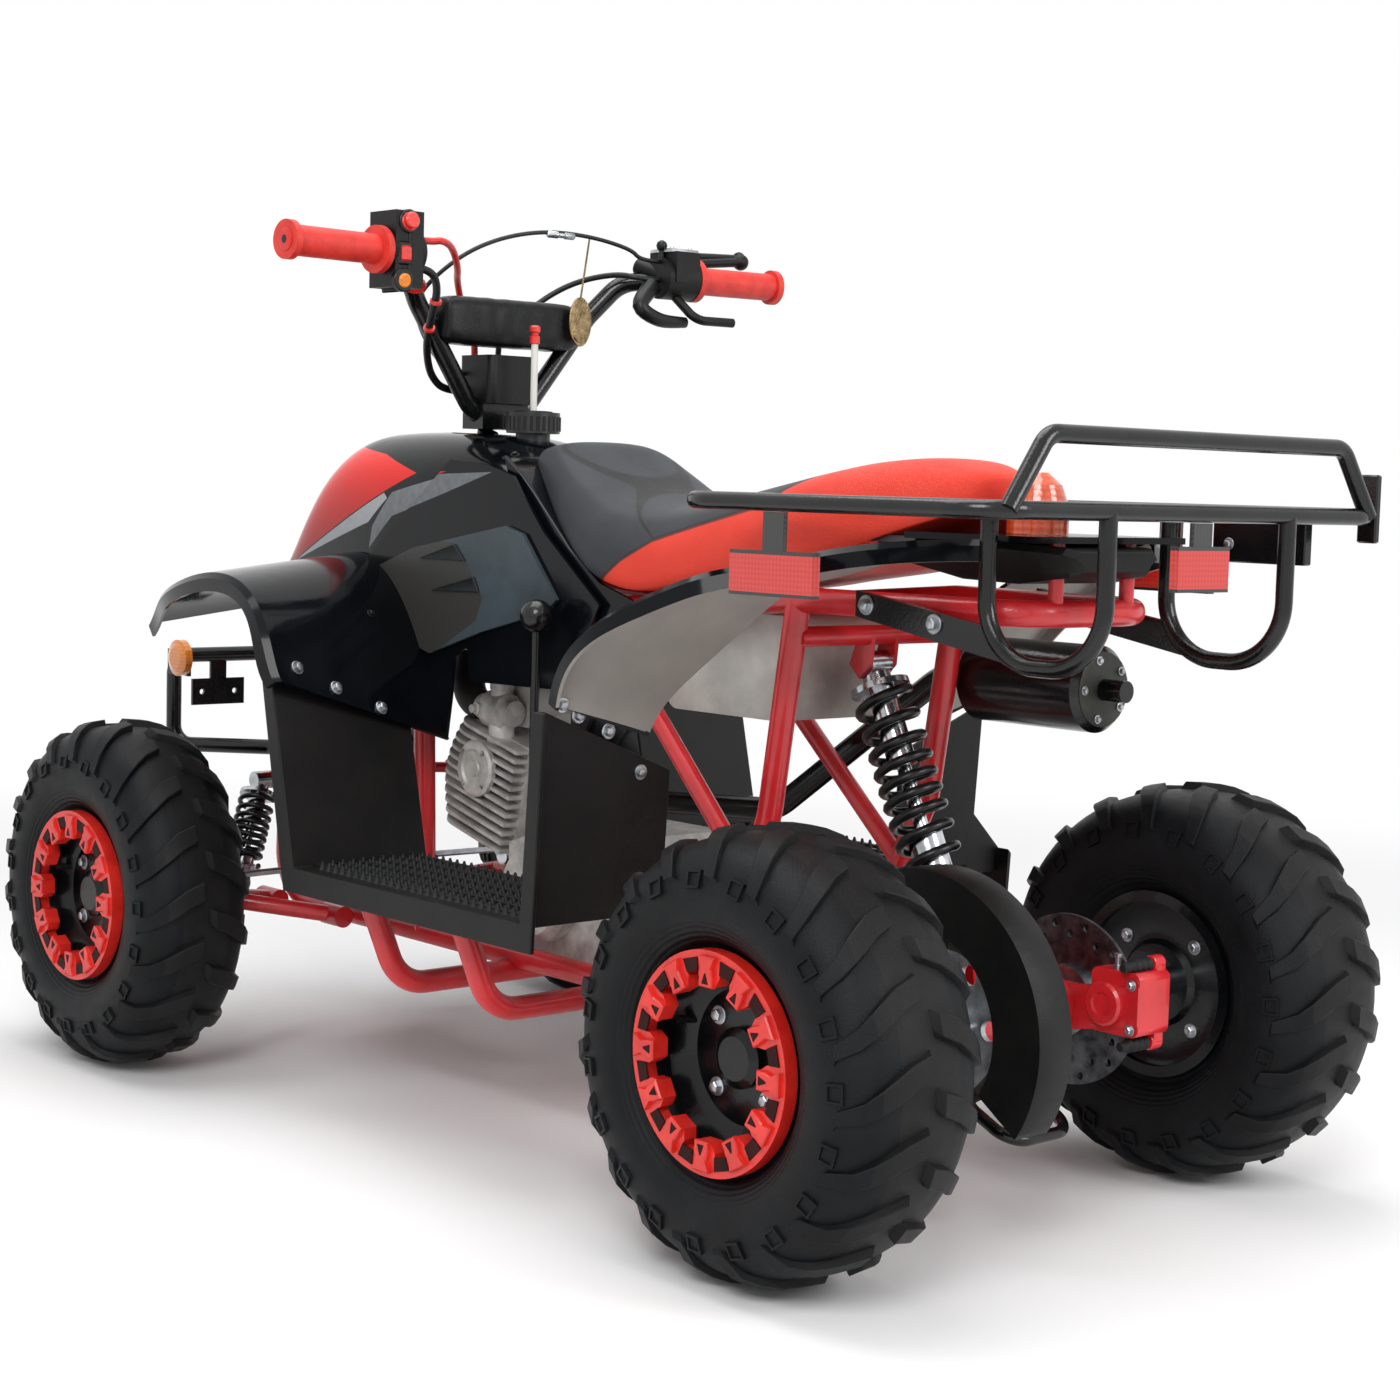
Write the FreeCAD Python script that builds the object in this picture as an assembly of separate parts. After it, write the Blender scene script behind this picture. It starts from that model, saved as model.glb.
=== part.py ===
import FreeCAD, Part
import os
from math import acos, atan2, cos, degrees, hypot, pi, radians, sin, sqrt, tan

# A youth quad bike. X runs forward, Y to the rider's left and Z up, in millimetres.
# The origin is on the ground under the middle of the overall length.

# Driving dimensions of the whole vehicle
WHEELBASE = 1050
REAR_OVERHANG = 222
FRONT_OVERHANG = 225
FRONT_TRACK = 710
REAR_TRACK = 590
TYRE_DIAMETER = 406
FRONT_TYRE_WIDTH = 146
REAR_TYRE_WIDTH = 172
RUNNING_CLEARANCE = 0.3
WORKING_CLEARANCE = 1
OVERRUN = 5

TYRE_RADIUS = TYRE_DIAMETER / 2
LENGTH = REAR_OVERHANG + WHEELBASE + FRONT_OVERHANG
MIDDLE_X = REAR_OVERHANG + WHEELBASE / 2 - LENGTH / 2
FRONT_AXLE = WHEELBASE / 2
REAR_AXLE = -WHEELBASE / 2

SIDES = (1, -1)
parts = {}


# Shared ways of making shapes

def at(ahead, left, up):
    """A place measured from the middle of the wheelbase, on the ground."""
    return FreeCAD.Vector(MIDDLE_X + ahead, left, up)


def way(x, y, z):
    return FreeCAD.Vector(x, y, z)


def mirrored(shape):
    return shape.mirror(way(0, 0, 0), way(0, 1, 0))


def fused(shapes):
    first, *rest = shapes
    return first.multiFuse(rest).removeSplitter() if rest else first


def rod(start, end, diameter):
    """A round bar from one point to another."""
    run = end - start
    return Part.makeCylinder(diameter / 2, run.Length, start, run)


def ring(centre, axis, outer, inner, width):
    """A round ring or bush, centred on a point of its axis."""
    start = centre - way(*axis).normalize() * (width / 2)
    whole = Part.makeCylinder(outer / 2, width, start, way(*axis))
    return whole.cut(Part.makeCylinder(inner / 2, width, start, way(*axis)))


def disc(centre, axis, diameter, width):
    start = centre - way(*axis).normalize() * (width / 2)
    return Part.makeCylinder(diameter / 2, width, start, way(*axis))


def bent_path(points, bend, closed=False):
    """Straight runs joined by tangent arcs, as a tube bender makes them."""
    count = len(points)
    arcs = {}
    for i in range(count):
        if not closed and i in (0, count - 1):
            continue
        before = points[i - 1] - points[i]
        after = points[(i + 1) % count] - points[i]
        turn = pi - before.getAngle(after)
        if turn < radians(2):
            continue
        reach = min(bend * tan(turn / 2), min(before.Length, after.Length) * 0.45)
        first = points[i] + before.normalize() * reach
        last = points[i] + after.normalize() * reach
        radius = reach / tan(turn / 2)
        inward = (before + after).normalize()
        middle = points[i] + inward * (radius / cos(turn / 2) - radius)
        arcs[i] = (first, middle, last)
    edges = []
    spans = range(count) if closed else range(count - 1)
    for i in spans:
        j = (i + 1) % count
        start = arcs[i][2] if i in arcs else points[i]
        end = arcs[j][0] if j in arcs else points[j]
        edges.append(Part.LineSegment(start, end).toShape())
        if j in arcs:
            edges.append(Part.Arc(*arcs[j]).toShape())
    return Part.Wire(edges)


def tube(points, diameter, bend, closed=False):
    """A bent round tube along the points."""
    path = bent_path(points, bend, closed)
    start = path.Edges[0]
    along = start.tangentAt(start.FirstParameter)
    section = Part.Wire(Part.makeCircle(diameter / 2, start.valueAt(start.FirstParameter), along))
    return path.makePipeShell([section], True, False)


def plate(outline, depth):
    """A flat plate: the outline's points, pushed along a direction."""
    return Part.Face(Part.makePolygon(outline + outline[:1])).extrude(depth)


def side_plate(outline, inner, thickness):
    """A plate in a plane along the vehicle, its outline given as (ahead, up)."""
    return plate([at(x, inner, z) for x, z in outline], way(0, thickness, 0))


def block(low, high):
    return Part.makeBox(high.x - low.x, high.y - low.y, high.z - low.z, low)


def turned(profile, centre, axis=(0, 1, 0)):
    """A body of revolution about an axle: the profile gives (along, radius) from the centre."""
    spin = way(*axis)
    out = way(0, 0, 1) if abs(spin.z) < 0.5 else way(1, 0, 0)
    points = [centre + spin * along + out * radius for along, radius in profile]
    face = Part.Face(Part.makePolygon(points + points[:1]))
    return face.revolve(centre, spin, 360)


def faceted(profile, centre, count):
    """A ring about a cross axle in flat facets: the profile is a closed loop of (along, radius)."""
    rings = []
    for number in range(count):
        turn = 2 * pi * number / count
        rings.append([centre + way(radius * cos(turn), along, radius * sin(turn))
                      for along, radius in profile])
    faces = []
    for here, there in zip(rings, rings[1:] + rings[:1]):
        for first, last in zip(range(len(profile)), list(range(1, len(profile))) + [0]):
            corners = [here[first], here[last], there[last], there[first], here[first]]
            faces.append(Part.Face(Part.makePolygon(corners)))
    whole = Part.Solid(Part.Shell(faces))
    return whole if whole.Volume > 0 else whole.reversed()


def loft(wires, ruled=False):
    return Part.makeLoft(wires, True, ruled)


def smooth_wire(points):
    curve = Part.BSplineCurve()
    curve.interpolate(points)
    return curve.toShape()


# Wheels: tyre with chevron lugs, dished steel rim, red bead ring

LUG_HEIGHT = 13
LUG_PITCHES = 13
TYRE_FACETS = 26
LUG_WIDTH = 34
LUG_SWEEP = 30
RIM_DIAMETER = 178
RIM_FLANGE_DIAMETER = 190
RIM_WALL = 5
HUB_DIAMETER = 96
HUB_DEPTH = 42
BEAD_RING_DIAMETER = 196
BEAD_RING_THICKNESS = 14
BEAD_RING_BAND = 14
BEAD_LUGS = 12
BEAD_LUG_LENGTH = 17
BEAD_LUG_WIDTH = 27
BEAD_LUG_HOLE = 9
BEAD_share = 0.68
RIM_FLANGE = 3
DISC_OFFSET = 28
HUB_BARREL = 48
HUB_COLLAR = 3
AXLE_DIAMETER = 28
SPINDLE_DIAMETER = 16
PIN_CLEARANCE = 0.2
FRONT_HUB_LENGTH = 45
CENTRE_CAP_DIAMETER = 54
CENTRE_CAP_HEIGHT = 12

# The casing's half section, as shares of the half width and of the height from bead to tread base
TYRE_SECTION_shares = (
    (0.68, 0.00), (0.68, 0.10), (0.94, 0.26), (1.00, 0.50), (0.95, 0.76), (0.72, 0.94), (0.26, 1.00))
# Each lug crosses the tread in stations: share of the half width, share of the height at its foot,
# share of its width and share of its sweep
LUG_stations_shares = (
    (0.04, 0.96, 0.85, 0.00), (0.66, 0.86, 1.00, 0.75), (0.97, 0.60, 0.70, 1.00))


def tyre_casing(centre, width):
    bead = (RIM_DIAMETER / 2 + RUNNING_CLEARANCE) / cos(pi / TYRE_FACETS)
    height = TYRE_RADIUS - LUG_HEIGHT - bead
    half = [(width / 2 * across, bead + height * up) for across, up in TYRE_SECTION_shares]
    return faceted(half + [(-across, radius) for across, radius in reversed(half)], centre, TYRE_FACETS)


def tyre_lug(centre, width, side, turn):
    """One chevron arm, from the crown over the shoulder, swept back as it goes out."""
    bead = RIM_DIAMETER / 2 + RUNNING_CLEARANCE
    height = TYRE_RADIUS - LUG_HEIGHT - bead
    wires = []
    for place, (across, foot, broad, sweep) in enumerate(LUG_stations_shares):
        base = bead + height * foot - LUG_HEIGHT / 2
        top = (TYRE_RADIUS, TYRE_RADIUS - LUG_HEIGHT * 0.45, bead + height * 0.66)[place]
        mid = turn + LUG_SWEEP * sweep / TYRE_RADIUS
        half = LUG_WIDTH * broad / 2 / TYRE_RADIUS
        out = side * width / 2 * across
        lean = side * width / 2 * (0, 0.10, 0.015)[place]
        corners = []
        for angle, radius, shift in ((mid - half, base, 0), (mid + half, base, 0),
                                     (mid + half * 0.75, top, lean), (mid - half * 0.75, top, lean)):
            corners.append(centre + way(radius * cos(angle), out + shift, radius * sin(angle)))
        wires.append(Part.makePolygon(corners + corners[:1]))
    return loft(wires, ruled=True)


def tyre(centre, width, lead):
    """The casing with its lugs; lead says which way round the chevrons point."""
    lugs = []
    pitch = 2 * pi / LUG_PITCHES
    for number in range(LUG_PITCHES):
        lugs.append(tyre_lug(centre, width, 1, lead * pitch * number))
        lugs.append(tyre_lug(centre, width, -1, lead * pitch * (number + 0.5)))
    return tyre_casing(centre, width).multiFuse(lugs)


def rim(centre, width, side, bore, hub_length):
    """Rolled steel rim: barrel with two flanges, a dished disc and a domed cap over the hub nut."""
    barrel = RIM_DIAMETER / 2
    inside = barrel - RIM_WALL
    bead = width / 2 * BEAD_share + RUNNING_CLEARANCE
    edge = bead + RIM_FLANGE
    face = DISC_OFFSET + RIM_WALL
    dish = (face + barrel * 0.14, DISC_OFFSET + barrel * 0.10)
    profile = [
        (-edge, RIM_FLANGE_DIAMETER / 2), (-bead, RIM_FLANGE_DIAMETER / 2), (-bead, barrel), (bead, barrel),
        (bead, RIM_FLANGE_DIAMETER / 2), (edge, RIM_FLANGE_DIAMETER / 2), (edge, inside), (dish[0], inside),
        (face, inside * 0.72), (face, CENTRE_CAP_DIAMETER / 2),
        (face + CENTRE_CAP_HEIGHT * 0.6, CENTRE_CAP_DIAMETER / 2),
        (face + CENTRE_CAP_HEIGHT, CENTRE_CAP_DIAMETER * 0.36), (face + CENTRE_CAP_HEIGHT, 0), (face, 0),
        (face, bore / 2), (DISC_OFFSET - hub_length, bore / 2),
        (DISC_OFFSET - hub_length, HUB_BARREL / 2), (DISC_OFFSET, HUB_BARREL / 2),
        (DISC_OFFSET, inside * 0.66), (dish[1], inside), (-edge, inside)]
    return turned(profile, centre, (0, side, 0))


def bead_ring(centre, width, side):
    """The red ring over the outer bead: a band with lugs that point inwards, a hole in each."""
    back = width / 2 * BEAD_share + RUNNING_CLEARANCE + RIM_FLANGE
    middle = centre + way(0, side * (back + BEAD_RING_THICKNESS / 2), 0)
    outer = BEAD_RING_DIAMETER / 2
    inner = outer - BEAD_RING_BAND
    tip = inner - BEAD_LUG_LENGTH
    whole = [ring(middle, (0, 1, 0), 2 * outer, 2 * inner, BEAD_RING_THICKNESS)]
    holes = []
    start = middle.y - BEAD_RING_THICKNESS / 2
    for number in range(BEAD_LUGS):
        turn = degrees(2 * pi * number / BEAD_LUGS)
        half = BEAD_LUG_WIDTH / 2
        outline = [(-half, inner + BEAD_RING_BAND / 2), (half, inner + BEAD_RING_BAND / 2),
                   (half, tip + BEAD_LUG_LENGTH * 0.5), (half * 0.6, tip), (-half * 0.6, tip),
                   (-half, tip + BEAD_LUG_LENGTH * 0.5)]
        points = [way(middle.x + across, start, middle.z + out) for across, out in outline]
        lug = plate(points, way(0, BEAD_RING_THICKNESS, 0))
        hole = disc(way(middle.x, middle.y, middle.z + tip + BEAD_LUG_LENGTH * 0.6), (0, 1, 0),
                    BEAD_LUG_HOLE, BEAD_RING_THICKNESS + 2 * OVERRUN)
        for shape, kept in ((lug, whole), (hole, holes)):
            shape.rotate(middle, way(0, 1, 0), turn)
            kept.append(shape)
    return whole[0].multiFuse(whole[1:]).cut(holes).removeSplitter()


def wheel_centre(axle, track, side):
    return at(axle, side * track / 2, TYRE_RADIUS)


def rear_wheel_set():
    tyres, rims, rings = [], [], []
    for side in SIDES:
        centre = wheel_centre(REAR_AXLE, REAR_TRACK, side)
        tyres.append(tyre(centre, REAR_TYRE_WIDTH, 1))
        rims.append(rim(centre, REAR_TYRE_WIDTH, side, AXLE_DIAMETER + 2 * RUNNING_CLEARANCE, HUB_COLLAR))
        rings.append(bead_ring(centre, REAR_TYRE_WIDTH, side))
    parts['rear_tyres'] = tyres
    parts['rear_rims'] = rims
    parts['rear_bead_rings'] = rings


def front_wheels():
    for side, name in ((1, 'left'), (-1, 'right')):
        centre = wheel_centre(FRONT_AXLE, FRONT_TRACK, side)
        parts['front_tyre_' + name] = [tyre(centre, FRONT_TYRE_WIDTH, 1)]
        parts['front_rim_' + name] = [
            rim(centre, FRONT_TYRE_WIDTH, side, SPINDLE_DIAMETER + 2 * PIN_CLEARANCE, FRONT_HUB_LENGTH)]
        parts['front_bead_ring_' + name] = [bead_ring(centre, FRONT_TYRE_WIDTH, side)]


# Rear axle: one shaft with its hubs, the chain's sprocket on the left, the brake disc on the right

SPROCKET_TEETH = 37
CHAIN_PITCH = 12.7
SPROCKET_PLACE = 70
SPROCKET_THICKNESS = 6
BRAKE_DISC_DIAMETER = 168
BRAKE_DISC_THICKNESS = 4
BRAKE_DISC_PLACE = -105
BRAKE_DISC_HOLES = 12
BRAKE_DISC_HOLE = 8
DISC_HUB_DIAMETER = 70
FLANGE_THICKNESS = 8

SPROCKET_RADIUS = CHAIN_PITCH * SPROCKET_TEETH / (2 * pi)


def rear_shaft():
    centre = at(REAR_AXLE, 0, TYRE_RADIUS)
    reach = REAR_TRACK / 2 + DISC_OFFSET + RIM_WALL - RUNNING_CLEARANCE
    shapes = [disc(centre, (0, 1, 0), AXLE_DIAMETER, 2 * reach)]
    flange_end = REAR_TRACK / 2 + DISC_OFFSET - HUB_COLLAR
    for side in SIDES:
        shapes.append(disc(centre + way(0, side * (flange_end - FLANGE_THICKNESS / 2), 0), (0, 1, 0),
                           HUB_DIAMETER, FLANGE_THICKNESS))
        shapes.append(disc(centre + way(0, side * (flange_end - HUB_DEPTH / 2), 0), (0, 1, 0),
                           HUB_BARREL, HUB_DEPTH))
    for place, width in ((SPROCKET_PLACE, SPROCKET_THICKNESS), (BRAKE_DISC_PLACE, BRAKE_DISC_THICKNESS)):
        inward = -1 if place > 0 else 1
        shapes.append(disc(centre + way(0, place + inward * (width / 2 + FLANGE_THICKNESS / 2), 0), (0, 1, 0),
                           DISC_HUB_DIAMETER, FLANGE_THICKNESS))
    parts['rear_axle'] = [fused(shapes)]


def sprocket():
    """A flat toothed wheel, lightened by round holes."""
    centre = at(REAR_AXLE, SPROCKET_PLACE, TYRE_RADIUS)
    points = []
    for tooth in range(SPROCKET_TEETH):
        for step, radius in ((-0.25, -0.28), (-0.1, 0.16), (0.1, 0.16), (0.25, -0.28)):
            turn = 2 * pi * (tooth + step) / SPROCKET_TEETH
            reach = SPROCKET_RADIUS + radius * CHAIN_PITCH
            points.append(centre + way(reach * cos(turn), -SPROCKET_THICKNESS / 2, reach * sin(turn)))
    wheel = plate(points, way(0, SPROCKET_THICKNESS, 0))
    holes = [disc(centre, (0, 1, 0), AXLE_DIAMETER + 2 * RUNNING_CLEARANCE, 2 * DISC_HUB_DIAMETER)]
    middle = (SPROCKET_RADIUS + DISC_HUB_DIAMETER / 2) / 2
    for number in range(6):
        turn = 2 * pi * number / 6
        place = centre + way(middle * cos(turn), 0, middle * sin(turn))
        holes.append(disc(place, (0, 1, 0), SPROCKET_RADIUS * 0.26, 2 * SPROCKET_THICKNESS))
    parts['rear_sprocket'] = [wheel.cut(holes)]


def brake_disc():
    centre = at(REAR_AXLE, BRAKE_DISC_PLACE, TYRE_RADIUS)
    plain = ring(centre, (0, 1, 0), BRAKE_DISC_DIAMETER, AXLE_DIAMETER + 2 * RUNNING_CLEARANCE,
                 BRAKE_DISC_THICKNESS)
    holes = []
    for row, share in enumerate((0.78, 0.90)):
        for number in range(BRAKE_DISC_HOLES):
            turn = 2 * pi * (number + row / 2) / BRAKE_DISC_HOLES
            reach = BRAKE_DISC_DIAMETER / 2 * share
            holes.append(disc(centre + way(reach * cos(turn), 0, reach * sin(turn)), (0, 1, 0),
                              BRAKE_DISC_HOLE, 2 * BRAKE_DISC_THICKNESS))
    parts['brake_disc'] = [plain.cut(holes)]


# Frame: bent steel tubes, welded, with two cradle hoops that carry the footboards

FRAME_TUBE = 25
FRAME_BEND = 60
FRAME_WIDTH = 190
TAIL_WIDTH = 224
HEAD_WIDTH = 68
RAIL_HEIGHT = 165
HOOP_HEIGHT = 150
HEAD_HEIGHT = 650
TOWER_HEIGHT = 440
TAIL_HEIGHT = 588
HOOP_TUBE = 25
HOOP_BEND = 50
HOOP_REACH = 300
HOOP_places_shares = (0.100, -0.057)
CROSS_TUBE = 20
SHOCK_CROSS_HEIGHT = 552
HEAD_BUSH_LENGTH = 40
STEM_BUSH_LENGTH = 24
STEM_BUSH = 52

STEM_DIAMETER = 25
BAR_BASE_HEIGHT = 768
STEM_TO_BAR = 16
STEM_TOP_HEIGHT = BAR_BASE_HEIGHT - STEM_TO_BAR
STEM_TOP_AHEAD = 304
STEM_FOOT_HEIGHT = 180
STEM_FOOT_AHEAD = 502


def stem_place(up):
    """The steering axis at a height."""
    share = (up - STEM_FOOT_HEIGHT) / (STEM_TOP_HEIGHT - STEM_FOOT_HEIGHT)
    return at(STEM_FOOT_AHEAD + (STEM_TOP_AHEAD - STEM_FOOT_AHEAD) * share, 0, up)


STEM_AXIS = (stem_place(STEM_TOP_HEIGHT) - stem_place(STEM_FOOT_HEIGHT)).normalize()

# Shares of the wheelbase ahead, and of the frame's width to the side
TOWER_TOP_shares = (0.548, 0.5)
TOWER_FOOT_shares = (0.560, 0.5)
RAIL_END_shares = (-0.215, 0.5)
STRUT_MIDDLE_share = -0.305
STRUT_TOP_share = -0.335
DOWN_TUBE_shares = (0.276, 0.267)
TOP_TUBE_shares = ((0.170, 0.47, 0.978), (-0.020, 0.50, 0.952))
TAIL_END_share = -0.590


def frame_tubes():
    half, tail = FRAME_WIDTH / 2, TAIL_WIDTH / 2
    head = stem_place(HEAD_HEIGHT)
    neck = head.x - MIDDLE_X
    tubes = []
    for side in SIDES:
        main = [at(neck + FRAME_TUBE, side * HEAD_WIDTH / 2, HEAD_HEIGHT),
                at(TOWER_TOP_shares[0] * WHEELBASE, side * half, TOWER_HEIGHT),
                at(TOWER_FOOT_shares[0] * WHEELBASE, side * half, RAIL_HEIGHT),
                at(RAIL_END_shares[0] * WHEELBASE, side * half, RAIL_HEIGHT),
                at(STRUT_MIDDLE_share * WHEELBASE, side * tail, (RAIL_HEIGHT + TAIL_HEIGHT) / 2),
                at(STRUT_TOP_share * WHEELBASE, side * tail, TAIL_HEIGHT)]
        tubes.append(tube(main, FRAME_TUBE, FRAME_BEND))
        down = [at(neck, side * HEAD_WIDTH / 2, HEAD_HEIGHT),
                at(DOWN_TUBE_shares[0] * WHEELBASE, side * half, TOWER_HEIGHT),
                at(DOWN_TUBE_shares[1] * WHEELBASE, side * half, RAIL_HEIGHT)]
        tubes.append(tube(down, FRAME_TUBE, FRAME_BEND))
        diagonal = [at(-0.022 * WHEELBASE, side * half, TAIL_HEIGHT * TOP_TUBE_shares[1][2]),
                    at(STRUT_MIDDLE_share * WHEELBASE + FRAME_TUBE, side * tail * 0.96,
                       (RAIL_HEIGHT + TAIL_HEIGHT) / 2 - 3 * FRAME_TUBE)]
        tubes.append(tube(diagonal, CROSS_TUBE, FRAME_BEND))
    left = [at(neck, HEAD_WIDTH / 2, HEAD_HEIGHT)]
    for ahead, across, up in TOP_TUBE_shares:
        left.append(at(ahead * WHEELBASE, across * FRAME_WIDTH, up * TAIL_HEIGHT))
    left.append(at(STRUT_TOP_share * WHEELBASE, tail, TAIL_HEIGHT))
    left.append(at(TAIL_END_share * WHEELBASE, half, TAIL_HEIGHT))
    right = [FreeCAD.Vector(p.x, -p.y, p.z) for p in reversed(left)]
    tubes.append(tube(left + right, FRAME_TUBE, FRAME_BEND))
    for ahead, across, up in ((TOWER_TOP_shares[0] * WHEELBASE, half, TOWER_HEIGHT),
                              (TOWER_FOOT_shares[0] * WHEELBASE - FRAME_BEND, half, RAIL_HEIGHT),
                              (STEM_FOOT_AHEAD, half, RAIL_HEIGHT),
                              (STRUT_TOP_share * WHEELBASE, tail, SHOCK_CROSS_HEIGHT)):
        tubes.append(rod(at(ahead, -across, up), at(ahead, across, up), CROSS_TUBE))
    return tubes


def cradle_hoops():
    hoops = []
    for share in HOOP_places_shares:
        ahead = share * WHEELBASE
        top = FLOOR_UNDERSIDE - RUNNING_CLEARANCE
        knee = HOOP_REACH - (top - HOOP_HEIGHT) * 0.4
        left = at(ahead, knee, HOOP_HEIGHT)
        right = at(ahead, -knee, HOOP_HEIGHT)
        rise = (at(ahead, HOOP_REACH, top) - left).normalize() * HOOP_TUBE
        end = at(ahead, HOOP_REACH, top) + rise
        whole = tube([end, left, right, FreeCAD.Vector(end.x, -end.y, end.z)], HOOP_TUBE, HOOP_BEND)
        trim = HOOP_REACH + HOOP_TUBE * 2
        spare = block(at(ahead - HOOP_TUBE, -trim, top), at(ahead + HOOP_TUBE, trim, top + trim))
        hoops.append(whole.cut(spare))
    return hoops


# Brackets: each boss reaches out to the piece that it carries
BOSS = 14
BODY_BOSS_HEIGHT = 562
NOSE_BAR_AHEAD = 540
NOSE_BAR_HEIGHT = 572
NOSE_BAR_share = 0.77
LAMP_POST_TOP = 479
DECK_POST_OUT = 50
SHOCK_EAR = 5


def along_tube(first, last, height):
    """The point of a straight run at a height."""
    return first + (last - first) * ((height - first.z) / (last.z - first.z))


def frame_brackets():
    half, tail = FRAME_WIDTH / 2, TAIL_WIDTH / 2
    head = stem_place(HEAD_HEIGHT)
    shapes = []
    for side in SIDES:
        neck = way(head.x, side * HEAD_WIDTH / 2, HEAD_HEIGHT)
        shoulder = at(DOWN_TUBE_shares[0] * WHEELBASE, side * half, TOWER_HEIGHT)
        root = along_tube(neck, shoulder, BODY_BOSS_HEIGHT)
        shapes.append(rod(root, way(root.x, side * (COWL_WIDTH / 2 - SHELL - WORKING_CLEARANCE), root.z),
                          BOSS))
        crown = at(TOWER_TOP_shares[0] * WHEELBASE, side * half, TOWER_HEIGHT)
        fore = way(head.x + FRAME_TUBE, side * HEAD_WIDTH / 2, HEAD_HEIGHT)
        slope = fore + (crown - fore) * ((at(NOSE_BAR_AHEAD, 0, 0).x - fore.x) / (crown.x - fore.x))
        shapes.append(rod(slope, way(slope.x, slope.y, NOSE_BAR_HEIGHT), BOSS))
        shapes.append(rod(at(TOWER_TOP_shares[0] * WHEELBASE, side * HEAD_LAMP_OUT, TOWER_HEIGHT),
                          at(TOWER_TOP_shares[0] * WHEELBASE, side * HEAD_LAMP_OUT, LAMP_POST_TOP), BOSS))
        shapes.append(rod(at(TAIL_END_share * WHEELBASE, side * DECK_POST_OUT, TAIL_HEIGHT),
                          at(TAIL_END_share * WHEELBASE, side * DECK_POST_OUT,
                             REAR_FENDER_TOP - SHELL * 1.5 - RUNNING_CLEARANCE), BOSS))
        foot = at(TOWER_FOOT_shares[0] * WHEELBASE, side * half, RAIL_HEIGHT)
        root = along_tube(crown, foot, FRONT_SHOCK_HEIGHT)
        eye = at(FRONT_SHOCK_AHEAD, side * (FRONT_SHOCK_OUT - FRONT_EYE / 2 - RUNNING_CLEARANCE),
                 FRONT_SHOCK_HEIGHT)
        inward = way(0, -side * SHOCK_EAR, 0)
        shapes += [rod(root, eye + inward, BOSS), rod(eye, eye + inward, FRONT_EYE)]
        inner = REAR_EYE / 2 + RUNNING_CLEARANCE
        low = SHOCK_CROSS_HEIGHT - SHOCK_DROP
        outline = [(STRUT_TOP_share * WHEELBASE - CROSS_TUBE / 2, SHOCK_CROSS_HEIGHT),
                   (STRUT_TOP_share * WHEELBASE + CROSS_TUBE / 2, SHOCK_CROSS_HEIGHT),
                   (REAR_SHOCK_TOP_AHEAD + REAR_EYE / 2, low), (REAR_SHOCK_TOP_AHEAD, low - REAR_EYE / 2),
                   (REAR_SHOCK_TOP_AHEAD - REAR_EYE / 2, low)]
        shapes.append(side_plate(outline, inner if side > 0 else -inner - SHOCK_EAR, SHOCK_EAR))
    across = COWL_WIDTH / 2 * NOSE_BAR_share
    shapes.append(rod(at(NOSE_BAR_AHEAD, -across, NOSE_BAR_HEIGHT),
                      at(NOSE_BAR_AHEAD, across, NOSE_BAR_HEIGHT), BOSS))
    return shapes


def frame():
    shapes = frame_tubes() + cradle_hoops() + frame_brackets()
    head = stem_place(HEAD_HEIGHT)
    bore = STEM_DIAMETER + 2 * RUNNING_CLEARANCE
    foot = stem_place(RAIL_HEIGHT + CROSS_TUBE / 2 + STEM_BUSH_LENGTH / 2)
    whole = fused(shapes)
    axis = tuple(STEM_AXIS)
    whole = whole.fuse([disc(head, axis, STEM_BUSH, HEAD_BUSH_LENGTH),
                        disc(foot, axis, STEM_BUSH, STEM_BUSH_LENGTH)])
    for place, length in ((head, HEAD_BUSH_LENGTH), (foot, STEM_BUSH_LENGTH)):
        whole = whole.cut(disc(place, axis, bore, length + 2 * OVERRUN))
    parts['frame'] = [whole]


# Front suspension: one wide arm a side, its kingpin housing at the outer end

KINGPIN_OFFSET = 93
KINGPIN_HOUSING = 28
KINGPIN_DIAMETER = 14
KINGPIN_LENGTH = 56
ARM_TUBE = 20
ARM_BUSH = 26
ARM_BUSH_LENGTH = 40
ARM_SPREAD = 145
ARM_SHOCK_PLACE = 205


def kingpin(side):
    return at(FRONT_AXLE, side * (FRONT_TRACK / 2 - KINGPIN_OFFSET), TYRE_RADIUS)


def arm_bush(side, fore):
    place = FRAME_WIDTH / 2 + FRAME_TUBE / 2 + ARM_BUSH / 2 + RUNNING_CLEARANCE
    return at(FRONT_AXLE + (fore - 0.5) * ARM_SPREAD - ARM_BUSH_LENGTH / 2, side * place, RAIL_HEIGHT)


def arm_point(side, fore, across):
    """Where a leg of the arm crosses a distance from the middle."""
    inner, outer = arm_bush(side, fore), arm_outer(side)
    share = (across - abs(inner.y)) / (abs(outer.y) - abs(inner.y))
    return inner + (outer - inner) * share


def arm_outer(side):
    return kingpin(side) - way(0, side * KINGPIN_HOUSING / 4, KINGPIN_LENGTH / 2 - ARM_TUBE * 0.65)


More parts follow.
